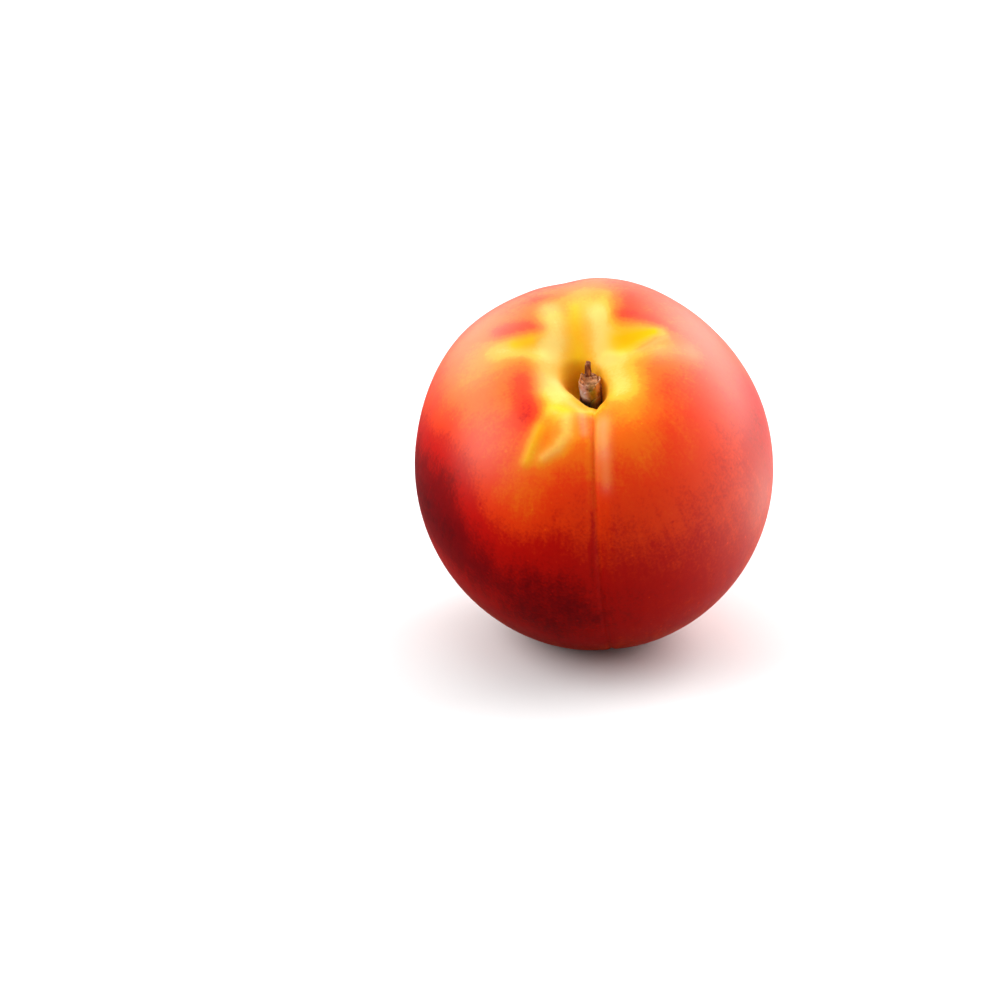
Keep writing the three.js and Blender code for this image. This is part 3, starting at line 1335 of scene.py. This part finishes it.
@dataclass(frozen=True)
class SkinFinish:
    """Ripe skin: gold near the stem, under a blush that deepens from orange to crimson. The darkest crimson,
    low on the left and front, is partly painted shade; the gold deep in the throat is partly painted bounced
    light; the pale bloom, the pale rims on ridges and lips and the dark marks in the furrow are painted
    sheen, highlight and shade.
    """

    blush_stops: Stops = (
        (0.0, display(252, 204, 92)),
        (0.18, display(250, 178, 42)),
        (0.34, display(250, 142, 18)),
        (0.48, display(250, 106, 14)),
        (0.62, display(244, 60, 10)),
        (0.74, display(208, 16, 8)),
        (0.88, display(140, 4, 10)),
        (1.0, display(84, 4, 12)),
    )
    # Pale skin, and painted highlight on ridges, lips and banks.
    cream: Colour = display(255, 236, 146)
    gold: Colour = display(255, 200, 6)
    # The pale waxy bloom, mostly painted sheen.
    wax: Colour = display(255, 214, 196)
    # The dark brown of painted shade.
    umber: Colour = display(104, 44, 8)
    roughness: float = 0.36
    specular: float = 0.08
    subsurface: float = 0.3
    subsurface_radius: Triple = (1.0, 0.35, 0.12)
    subsurface_reach: float = 3.6
    plain_blush: float = 0.58
    uneven_blush: Grain = Grain((0.16, 0.16, 0.16), 0.1)
    meridian_streaks: Grain = Grain((30.0, 30.0, 30.0), 0.065)
    meridian_stretch: float = 0.09
    fine: Grain = Grain((1.8, 1.8, 1.8), 0.11)
    mottle: Grain = Grain((0.45, 0.45, 0.45), 0.05)
    uneven_sheen: Grain = Grain((0.8, 0.8, 0.8), 0.12)
    pale_specks: Specks = Specks(1.9, 0.2, (0.0, 0.0, 0.0), -0.1)
    dark_specks: Specks = Specks(2.3, 0.24, (7.0, 3.0, 5.0), 0.06)
    relief: float = 0.05
    fine_relief: float = 2.0
    mottle_relief: float = 1.2
    speck_relief: float = 0.35
    streaks_begin: Pair = (0.0, 12.0)
    washes: tuple[Wash, ...] = (
        Wash(180, 6, 0.2, -0.3),
        Wash(178, 24, 0.2, -0.26),
        Wash(176, 42, 0.2, -0.07),
        Wash(50, 18, 0.2, -0.14),
        Wash(98, 24, 0.2, -0.12),
        Wash(28, 32, 0.16, -0.08),
        Wash(-8, 30, 0.14, -0.12),
        Wash(-34, 50, 0.2, -0.1),
        Wash(-72, 37, 0.16, -0.05),
        Wash(-112, 32, 0.34, -0.16),
        Wash(-64, 55, 0.2, 0.1),
        Wash(82, 68, 0.34, 0.17),
        # The deep crimson low on the left and front is partly the skin's colour and partly painted shade.
        Wash(-84, 78, 0.34, 0.27),
        Wash(-58, 78, 0.34, 0.24),
        Wash(-20, 86, 0.5, 0.25),
        Wash(36, 92, 0.6, 0.15),
        Wash(180, 110, 0.8, 0.24),
    )
    # Washes of pale waxy bloom, mostly painted sheen where the lights' soft reflection falls on the upper
    # skin and the right cheek.
    bloom_and_sheen: tuple[Wash, ...] = (
        Wash(-124, 46, 0.34, 0.26),
        Wash(-96, 36, 0.2, 0.07),
        Wash(-60, 42, 0.2, 0.14),
        Wash(172, 44, 0.2, 0.08),
        Wash(114, 44, 0.3, 0.26),
        Wash(86, 52, 0.26, 0.12),
        Wash(62, 74, 0.4, 0.14),
        Wash(66, 84, 0.2, 0.12),
    )
    streaks: tuple[Streak, ...] = (
        # The left shoulder's fold: red along its far side, gold in its hollow.
        Streak(Paint.BLUSH, ((-14.4, 11.4), (-11.0, 10.7), (-6.6, 9.9)), (2.3, 1.3), 0.21),
        Streak(Paint.BLUSH, ((-7.6, 18.4), (-3.0, 19.6)), (1.8, 1.3), 0.08),
        Streak(Paint.BLUSH, ((-14.8, 6.0), (-10.5, 6.8), (-7.4, 6.2)), (2.8, 3.0), -0.26),
        Streak(Paint.GOLD, ((-12.0, 7.2), (-9.0, 7.7)), (1.2, 1.2), 0.8),
        Streak(Paint.BLUSH, ((-21.2, 3.4), (-14.5, 5.4)), (4.4, 3.6), -0.08),
        # The right shoulder's fold: a gold lens, with red above it and a pale rim below, which is painted
        # highlight along the crest of its ridge.
        Streak(Paint.BLUSH, ((6.4, 6.0), (11.0, 6.6), (14.8, 6.8)), (3.0, 1.6), -0.36),
        Streak(Paint.GOLD, ((6.9, 5.5), (9.8, 6.2), (13.6, 6.9)), (2.6, 0.8), 1.15),
        Streak(Paint.BLUSH, ((7.2, 11.4), (9.6, 11.2), (13.2, 10.4), (16.6, 8.2)), (1.4, 1.3), 0.11),
        Streak(Paint.BLUSH, ((10.6, 18.4), (9.8, 12.6)), (1.5, 1.8), 0.07),
        # Painted highlight: the pale crest of the ridge below the lens, and its end.
        Streak(Paint.BLUSH, ((4.6, 4.2), (7.8, 2.0), (11.8, 1.4), (15.5, 3.8)), (1.8, 1.3), -0.13),
        Streak(Paint.BLUSH, ((15.6, 2.0), (19.4, 2.2)), (2.6, 2.2), -0.1),
        Streak(Paint.WAX_AND_SHEEN, ((14.6, 1.2), (19.4, 2.2)), (2.6, 2.2), 0.1),
        Streak(Paint.PALE_AND_HIGHLIGHT, ((5.6, 3.2), (7.8, 2.4), (11.4, 2.6), (15.6, 4.8)), (1.0, 0.8), 0.1),
        # The valley behind the stem: gold along its bed, pale on its banks; the pale is partly painted
        # light, brightening banks that turn away from the lights.
        Streak(Paint.BLUSH, ((-4.4, 11.4), (-4.8, 7.0), (-6.3, 2.0), (-6.4, -4.6)), (2.6, 3.4), -0.27),
        Streak(Paint.BLUSH, ((4.2, 11.4), (4.4, 6.6), (5.6, 0.8), (6.4, -5.6)), (2.6, 3.8), -0.25),
        Streak(Paint.BLUSH, ((5.6, 18.0), (5.2, 14.0), (4.6, 11.4)), (1.4, 1.7), -0.14),
        Streak(Paint.BLUSH, ((0.8, 18.2), (2.2, 13.4)), (3.4, 2.6), -0.09),
        Streak(Paint.PALE_AND_HIGHLIGHT, ((1.6, 18.2), (3.2, 13.4)), (4.0, 2.6), 0.12),
        Streak(Paint.GOLD, ((-0.4, 15.0), (-0.7, 10.8), (-0.8, 5.4)), (1.0, 1.6), 0.55),
        Streak(Paint.PALE_AND_HIGHLIGHT, ((-4.9, 14.2), (-4.7, 8.0), (-6.6, 2.8), (-6.3, -3.6)), (2.3, 2.2), 0.38),
        Streak(Paint.PALE_AND_HIGHLIGHT, ((3.3, 13.0), (3.7, 7.4), (4.8, 3.6)), (1.9, 1.8), 0.26),
        # The throat and the lips of the cavity: gold in the throat, partly painted bounced light; pale rims
        # along the lips, painted highlight; and a dark umber mark, painted shadow where the stub's foot
        # meets the near rim.
        Streak(Paint.GOLD, ((-0.6, 1.6), (-0.6, -0.6)), (3.4, 3.4), 0.45),
        Streak(Paint.BLUSH, ((-2.0, -4.6), (-0.2, -6.6), (1.0, -9.4)), (2.6, 1.8), -0.4),
        Streak(Paint.BLUSH, ((-10.4, -1.6), (-10.6, -6.4), (-10.9, -10.4)), (2.8, 2.6), 0.16),
        Streak(Paint.PALE_AND_HIGHLIGHT, ((-4.9, -1.6), (-3.6, -6.4), (-1.0, -9.2)), (1.3, 1.1), 0.34),
        Streak(Paint.PALE_AND_HIGHLIGHT, ((5.4, 1.6), (5.6, -1.6), (4.8, -6.4)), (2.0, 1.6), 0.05),
        Streak(Paint.GOLD, ((-5.4, -9.4), (-4.2, -10.2)), (1.5, 1.3), 0.7),
        Streak(Paint.BLUSH, ((-6.2, -5.6), (-6.0, -9.0)), (2.0, 2.0), -0.22),
        Streak(Paint.BLUSH, ((-4.9, -7.4), (-2.6, -9.0), (-1.2, -9.8)), (1.4, 1.3), -0.18),
        # Painted shadow where the stub's foot meets the near rim.
        Streak(Paint.PAINTED_SHADE, ((-1.9, -2.2), (-1.2, -4.2)), (1.0, 0.9), 0.85),
        Streak(Paint.BLUSH, ((7.4, -2.4), (6.8, -11.0)), (5.0, 4.4), -0.12),
        Streak(Paint.BLUSH, ((12.1, -3.0), (13.8, -6.6)), (3.0, 3.0), 0.06),
        # The forked crease left of the suture.
        Streak(Paint.BLUSH, ((-6.3, -10.9), (-8.5, -13.3), (-11.8, -18.6)), (2.0, 1.5), -0.28),
        Streak(Paint.BLUSH, ((-3.6, -11.5), (-4.1, -15.6), (-5.8, -18.0), (-9.0, -19.2)), (2.5, 1.7), -0.27),
        Streak(Paint.GOLD, ((-8.8, -13.8), (-11.5, -18.4)), (1.0, 0.8), 0.4),
        Streak(Paint.PALE_AND_HIGHLIGHT, ((-3.7, -12.2), (-4.1, -16.0), (-6.0, -18.2), (-8.4, -19.0)), (1.3, 0.8), 0.22),
        Streak(Paint.BLUSH, ((-6.6, -13.8), (-7.2, -15.8)), (1.3, 1.2), -0.05),
        # Painted highlight on the rise just left of the suture's top.
        Streak(Paint.WAX_AND_SHEEN, ((-1.0, -11.0), (-0.9, -15.8)), (0.8, 0.8), 0.14),
        # The suture: a clear orange line, darkened along its furrow by painted shade, and the pale bank on
        # its right, which is painted highlight.
        Streak(Paint.BLUSH, ((0.7, -12.0), (0.2, -19.0), (-0.8, -27.0)), (1.5, 0.7), -0.1),
        Streak(Paint.PAINTED_SHADE, ((0.6, -12.6), (0.2, -19.0), (-0.8, -27.0), (-2.2, -34.0)), (0.45, 0.4), 0.06),
        Streak(Paint.BLUSH, ((0.6, -12.6), (0.2, -19.0), (-0.8, -27.0), (-2.2, -34.0)), (0.6, 0.5), 0.06),
        Streak(Paint.BLUSH, ((2.7, -13.4), (2.4, -17.6)), (1.6, 1.5), -0.08),
        Streak(Paint.BLUSH, ((2.6, -15.0), (2.1, -24.0)), (1.5, 1.2), -0.1),
        Streak(Paint.WAX_AND_SHEEN, ((2.7, -13.6), (2.2, -20.0)), (1.3, 1.2), 0.08),
        Streak(Paint.WAX_AND_SHEEN, ((2.6, -15.0), (2.0, -25.0)), (1.4, 1.0), 0.08),
    )

    def washed(self, effects: EffectShop, out: Formula, washes: Sequence[Wash], total: Formula) -> Formula:
        """Adds some washes to a total.

        Args:
            effects: The shared node groups.
            out: The way out from the middle of the fruit.
            washes: The washes.
            total: What was there before.

        Returns:
            The new total.
        """
        for wash in washes:
            total = use_group(
                effects.wash,
                out.tree,
                out=out,
                towards=tuple(heading(wash.around, wash.polar)),
                spread=wash.spread,
                amount=wash.amount,
                before=total,
            )
        return total

    def painted(self, effects: EffectShop, place: Formula, paint: Paint) -> Formula:
        """Adds up the streaks that hold one kind of paint, on the upper half only.

        Args:
            effects: The shared node groups.
            place: The place on the skin, in millimetres.
            paint: The kind of paint.

        Returns:
            How much of it lies there.
        """
        across, back, height = parts_of(place)
        flat = combined(across, back, 0.0)
        total = 0.0
        for streak in self.streaks:
            if streak.paint is not paint:
                continue
            mask = 0.0
            narrowing = (streak.widths[1] - streak.widths[0]) / (len(streak.points) - 1)
            for leg, (start, end) in enumerate(zip(streak.points, streak.points[1:])):
                width = streak.widths[0] + narrowing * leg
                mask = use_group(
                    effects.streak,
                    place.tree,
                    place=flat,
                    start=(*start, 0.0),
                    end=(*end, 0.0),
                    start_width=width,
                    end_width=width + narrowing,
                    before=mask,
                )
            total = mask.maths("MULTIPLY_ADD", streak.amount, total)
        return total * height.rise(*self.streaks_begin)

    def laid_on(
        self, effects: EffectShop, program: ShapeProgram, shape: Formula, place: Formula, out: Formula
    ) -> Formula:
        """Stores on each point how much of each paint lies there, for the material to read.

        Args:
            effects: The shared node groups.
            program: The tree that makes the skin.
            shape: The skin before its points are moved to their places.
            place: Where each point will be, in millimetres.
            out: The way out from the middle of the fruit there.

        Returns:
            The shape with one attribute for each paint.
        """
        amounts = {paint: self.painted(effects, place, paint) for paint in Paint}
        amounts[Paint.BLUSH] = self.washed(effects, out, self.washes, amounts[Paint.BLUSH])
        amounts[Paint.WAX_AND_SHEEN] = self.washed(effects, out, self.bloom_and_sheen, amounts[Paint.WAX_AND_SHEEN])
        for paint, amount in amounts.items():
            shape = program.node(
                "GeometryNodeStoreNamedAttribute", geometry=shape, name=paint.value, value=amount
            )
        return shape

    def stored(self, tree: bpy.types.NodeTree, paint: Paint) -> Formula:
        """How much of one paint was stored at each place of the skin.

        Args:
            tree: The material's tree.
            paint: The paint.

        Returns:
            The amount.
        """
        node = tree.nodes.new("ShaderNodeAttribute")
        node.attribute_name = paint.value
        return Formula(tree, node.outputs["Fac"])

    def make(self, effects: EffectShop, pose: Pose, body: FruitBody) -> bpy.types.Material:
        """Builds the skin's material.

        Args:
            effects: The shared node groups.
            pose: How the fruit lies.
            body: The fruit that it covers.

        Returns:
            The material.
        """
        material, shader = new_material("nectarine_skin")
        tree = material.node_tree
        place = pose.place(material)
        out_x, out_y, out_z = parts_of(body.way_out(place))
        around = out_x.maths("ARCTAN2", -out_y)
        polar = out_z.maths("MINIMUM", 1.0).maths("ARCCOSINE")
        meridian = combined(around.maths("SINE"), around.maths("COSINE"), polar * self.meridian_stretch)
        fine = effects.grained(place, self.fine)
        mottle = effects.grained(place, self.mottle)
        pale = effects.specked(place, self.pale_specks)
        dark = effects.specked(place, self.dark_specks)
        blush = self.stored(tree, Paint.BLUSH) + effects.grained(place, self.uneven_blush) + self.plain_blush
        blush = blush + effects.grained(meridian, self.meridian_streaks) + fine + mottle
        blush = blush + pale * self.pale_specks.blush + dark * self.dark_specks.blush
        colour = ramp(blush, self.blush_stops)
        # Laid over the blush: the waxy bloom with its painted sheen, gold, pale skin with painted highlight,
        # and painted shade.
        for paint, cover in (
            (Paint.WAX_AND_SHEEN, self.wax),
            (Paint.GOLD, self.gold),
            (Paint.PALE_AND_HIGHLIGHT, self.cream),
            (Paint.PAINTED_SHADE, self.umber),
        ):
            colour = mixed(self.stored(tree, paint), colour, cover)
        plug(tree, shader.inputs["Base Color"], colour)
        rough = effects.grained(place, self.uneven_sheen) + self.roughness
        plug(tree, shader.inputs["Roughness"], rough)
        shader.inputs["Subsurface Weight"].default_value = self.subsurface
        shader.inputs["Subsurface Radius"].default_value = self.subsurface_radius
        shader.inputs["Subsurface Scale"].default_value = self.subsurface_reach * MM
        shader.inputs["Specular IOR Level"].default_value = self.specular
        pores = fine * self.fine_relief + mottle * self.mottle_relief - (pale + dark) * self.speck_relief
        plug(tree, shader.inputs["Normal"], bumped(pores, self.relief * MM))
        return material


@dataclass(frozen=True)
class StainOrLight:
    """A soft spot of colour on the stub, between two places in the fruit's frame. Most are the bark's own
    colours; a few are painted highlight and painted shadow.
    """

    colour: Colour
    start: Triple
    end: Triple
    width: float
    amount: float


@dataclass(frozen=True)
class BarkFinish:
    """Dry wood of the stub: fibres between a few browns, with stains of other colours and a few marks of
    painted light and shade: a highlight, shadow at the stub's foot and shade along the top's ledges.
    """

    name: str
    stops: Stops
    fibre: Grain = Grain((1.5, 1.5, 0.28), 1.5, 4.0)
    cracks: Grain = Grain((3.4, 3.4, 0.8), 0.7, 3.0)
    long_cracks: Grain = Grain((0.4, 2.4, 0.3), 0.8)
    roughness: float = 0.72
    fibre_roughness: float = 0.2
    relief: float = 0.2
    stains_and_light: tuple[StainOrLight, ...] = (
        StainOrLight(display(150, 126, 84), (-1.2, -0.9, 23.8), (-1.2, -1.0, 22.9), 0.6, 0.7),
        StainOrLight(display(232, 190, 194), (-0.4, -1.9, 24.0), (-0.3, -2.6, 21.8), 0.9, 0.85),
        StainOrLight(display(150, 130, 8), (1.4, -2.2, 23.6), (1.1, -3.0, 21.6), 1.15, 1.0),
        StainOrLight(display(222, 160, 110), (2.3, -1.8, 24.2), (2.6, -1.8, 23.4), 0.55, 0.75),
        StainOrLight(display(84, 24, 6), (3.1, -1.2, 22.8), (2.9, -2.1, 20.8), 0.9, 0.9),
        # Painted shadow under the front edge of the broken top.
        StainOrLight(display(84, 30, 14), (0.3, -2.0, 24.3), (1.2, -2.1, 24.3), 0.32, 0.7),
        # Painted shadow, near black, where the stub's foot meets the near rim.
        StainOrLight(display(22, 12, 4), (-1.4, -1.2, 20.8), (0.2, -2.8, 20.6), 1.15, 1.0),
        StainOrLight(display(44, 26, 6), (0.2, -2.8, 20.6), (2.8, -2.0, 20.0), 1.1, 0.95),
        # A painted highlight: a white glint on the lower left of the stub.
        StainOrLight(display(255, 255, 255), (-1.2, -1.8, 22.8), (-0.7, -2.2, 22.5), 0.75, 1.0),
        # Across the broken top: tan bands, with lines of painted shade between them along its ledges.
        StainOrLight(display(240, 176, 124), (-0.4, 1.3, 24.9), (1.6, 1.3, 24.8), 0.32, 0.8),
        StainOrLight(display(116, 56, 16), (0.3, 0.85, 24.7), (1.5, 0.85, 24.7), 0.26, 0.85),
        StainOrLight(display(240, 172, 118), (0.3, -0.2, 24.4), (2.7, -0.2, 24.4), 0.34, 0.8),
        StainOrLight(display(124, 74, 20), (0.7, -0.8, 24.3), (2.7, -0.8, 24.2), 0.32, 0.85),
    )

    def make(self, effects: EffectShop, pose: Pose) -> bpy.types.Material:
        """Builds the material for one part of the stub.

        Args:
            effects: The shared node groups.
            pose: How the fruit lies.

        Returns:
            The material.
        """
        material, shader = new_material(self.name)
        tree = material.node_tree
        place = pose.place(material)
        fibres = effects.grained(place, self.fibre)
        cracks = effects.grained(place, self.cracks) + effects.grained(place, self.long_cracks)
        colour = ramp(fibres + cracks + 0.5, self.stops)
        for stain_or_light in self.stains_and_light:
            mask = use_group(
                effects.stain_or_light,
                tree,
                place=place,
                start=stain_or_light.start,
                end=stain_or_light.end,
                start_width=stain_or_light.width,
                end_width=stain_or_light.width,
            )
            colour = mixed(mask * stain_or_light.amount, colour, stain_or_light.colour)
        plug(tree, shader.inputs["Base Color"], colour)
        plug(tree, shader.inputs["Roughness"], fibres * self.fibre_roughness + self.roughness)
        plug(tree, shader.inputs["Normal"], bumped(fibres + cracks, self.relief * MM))
        return material


BARK = BarkFinish(
    "stem_bark",
    (
        (0.1, display(84, 42, 18)),
        (0.42, display(166, 102, 58)),
        (0.62, display(208, 138, 86)),
        (0.9, display(234, 188, 144)),
    ),
)
HUSK = BarkFinish(
    "stem_husk",
    (
        (0.1, display(120, 70, 40)),
        (0.45, display(204, 140, 90)),
        (0.7, display(226, 172, 124)),
        (0.95, display(240, 210, 180)),
    ),
    fibre=Grain((1.2, 1.2, 0.8), 1.5, 4.0),
)
TWIG = BarkFinish(
    "stem_twig",
    (
        (0.1, display(56, 24, 8)),
        (0.5, display(128, 60, 16)),
        (0.9, display(196, 124, 62)),
    ),
)


# ---- The studio -------------------------------------------------------------------------


@dataclass
class SoftLight:
    """A large round area light: angles in degrees, distance and size in metres."""

    name: str
    azimuth: float
    elevation: float
    distance: float
    size: float
    watts: float

    def build(self, target: Vector) -> None:
        """Adds the light.

        Args:
            target: The point that it shines on.
        """
        data = bpy.data.lights.new(self.name, "AREA")
        data.shape = "DISK"
        data.size = self.size
        data.energy = self.watts
        lamp = bpy.data.objects.new(self.name, data)
        bpy.context.scene.collection.objects.link(lamp)
        out = heading(self.azimuth, 90 - self.elevation)
        lamp.location = target + out * self.distance
        lamp.rotation_euler = (-out).to_track_quat("-Z", "Y").to_euler()


@dataclass
class Studio:
    """A pale floor, a bright surround and soft lights, with the camera in front.

    The camera's distance and sensor are in millimetres, and what else is a length in metres.
    Each pair is a stretch over which something comes in.
    """

    elevation: float = 22.0
    distance: float = 550.0
    pixels_per_mm: float = 5.27
    frame_pixels: int = 1000
    fruit_pixel: Pair = (594.6, 466.2)
    sensor: float = 36.0
    nearest_seen: float = 0.01
    front_glow: float = 0.53
    back_glow: float = 1.7
    glow_turns: Pair = (-0.5, 0.9)
    left_shade: float = 0.96
    left_shade_turns: Pair = (0.05, 0.6)
    left_shade_rises: Pair = (0.05, 0.5)
    floor_reach: float = 6.0
    floor_shade: float = 0.86
    floor_roughness: float = 0.7
    floor_fades: Pair = (0.6, 1.3)
    bounce_left: float = 0.03
    bounce_right: float = 0.44
    bounce_turns: Pair = (-0.07, 0.1)
    lights: tuple[SoftLight, ...] = (
        SoftLight("overhead_light", 150, 82, 0.9, 1.0, 1.5),
        SoftLight("key_light", -84, 33, 0.9, 0.85, 6.6),
        SoftLight("rim_light", 118, 31, 0.9, 0.85, 6.6),
    )

    def seen(self, tree: bpy.types.NodeTree) -> Formula:
        """1 for what the camera sees itself, and 0 for light on its way to the fruit."""
        path = tree.nodes.new("ShaderNodeLightPath")
        return Formula(tree, path.outputs["Is Camera Ray"])

    def floor(self) -> None:
        """Lays the pale floor, which fades to white far from the fruit."""
        mesh = bpy.data.meshes.new("floor")
        corners = [(x * self.floor_reach, y * self.floor_reach, 0.0) for x, y in SQUARE]
        mesh.from_pydata(corners, [], [(0, 1, 2, 3)])
        floor = bpy.data.objects.new("floor", mesh)
        bpy.context.scene.collection.objects.link(floor)
        material, shader = new_material("pale_floor")
        tree = material.node_tree
        coordinates = tree.nodes.new("ShaderNodeTexCoord")
        place = Formula(tree, coordinates.outputs["Object"])
        right, _, _ = parts_of(place)
        extra = self.bounce_right - self.bounce_left
        bounce = right.rise(*self.bounce_turns) * extra + self.bounce_left
        seen = self.seen(tree)
        far = seen * vector_maths(tree, "LENGTH", place).rise(*self.floor_fades)
        shade = seen * self.floor_shade * (1.0 - far) + (1.0 - seen) * bounce
        plug(tree, shader.inputs["Base Color"], combined(shade, shade, shade))
        plug(tree, shader.inputs["Emission Color"], combined(far, far, far))
        shader.inputs["Emission Strength"].default_value = 1.0
        shader.inputs["Roughness"].default_value = self.floor_roughness
        mesh.materials.append(material)

    def world(self) -> None:
        """Lights the room, more from the back than from the front, and shows it white."""
        world = bpy.data.worlds.new("studio")
        bpy.context.scene.world = world
        world.use_nodes = True
        tree = world.node_tree
        coordinates = tree.nodes.new("ShaderNodeTexCoord")
        right, back, up = parts_of(Formula(tree, coordinates.outputs["Generated"]))
        strength = back.rise(*self.glow_turns) * (self.back_glow - self.front_glow) + self.front_glow
        hidden = (-right).rise(*self.left_shade_turns) * (1.0 - up.rise(*self.left_shade_rises))
        strength = strength * (1.0 - hidden * self.left_shade)
        seen = self.seen(tree)
        shown = seen + (1.0 - seen) * strength
        background = tree.nodes["Background"]
        plug(tree, background.inputs["Strength"], shown)
        background.inputs["Color"].default_value = (1.0, 1.0, 1.0, 1.0)

    def camera(self, middle: Vector) -> None:
        """Sets the camera so that the fruit's middle falls on its place in the frame.

        Args:
            middle: The origin of the fruit's own frame.
        """
        tilt = math.radians(self.elevation)
        ahead = Vector((0.0, math.cos(tilt), -math.sin(tilt)))
        right = Vector((1.0, 0.0, 0.0))
        above = right.cross(ahead)
        half = self.frame_pixels / 2
        aside = (self.fruit_pixel[0] - half) / self.pixels_per_mm * MM
        over = (half - self.fruit_pixel[1]) / self.pixels_per_mm * MM
        data = bpy.data.cameras.new("camera")
        data.sensor_width = self.sensor
        data.lens = self.sensor * self.distance * self.pixels_per_mm / self.frame_pixels
        data.clip_start = self.nearest_seen
        camera = bpy.data.objects.new("camera", data)
        camera.location = middle - right * aside - above * over - ahead * self.distance * MM
        camera.rotation_euler = ahead.to_track_quat("-Z", "Y").to_euler()
        bpy.context.scene.collection.objects.link(camera)
        bpy.context.scene.camera = camera

    def build(self, middle: Vector) -> None:
        """Makes the floor, the surround, the lights and the camera.

        Args:
            middle: The origin of the fruit's own frame.
        """
        self.floor()
        self.world()
        for light in self.lights:
            light.build(middle)
        self.camera(middle)
        bpy.context.scene.view_settings.view_transform = "Standard"


# ---- Putting it together ----------------------------------------------------------------


def replace_node(piece: bpy.types.Object, node: str) -> None:
    """Rides a piece on the fruit's body, in place of a solid.

    Args:
        piece: The piece.
        node: The solid's node.
    """
    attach(piece, BODY)
    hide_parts(node)
    LOG.info("%s: %d faces in place of %s", piece.name, len(piece.data.polygons), node)


def main() -> None:
    """Builds the fruit, its stub and the studio."""
    logging.basicConfig(level=logging.INFO, format="%(name)s: %(message)s")
    pose = Pose()
    effects = EffectShop()
    body = FruitBody()
    skin = SkinFinish()
    fruit = body.build(effects, skin, skin.make(effects, pose, body))
    woods = [wood.make(effects, pose) for wood in (BARK, HUSK, TWIG)]
    pose.settle(fruit, *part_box("fruit"))
    stub = StemStub().build(pose, *woods)
    replace_node(fruit, "fruit")
    replace_node(stub, "stem")
    Studio().build(pose.origin)


if __name__ == "__main__":
    main()
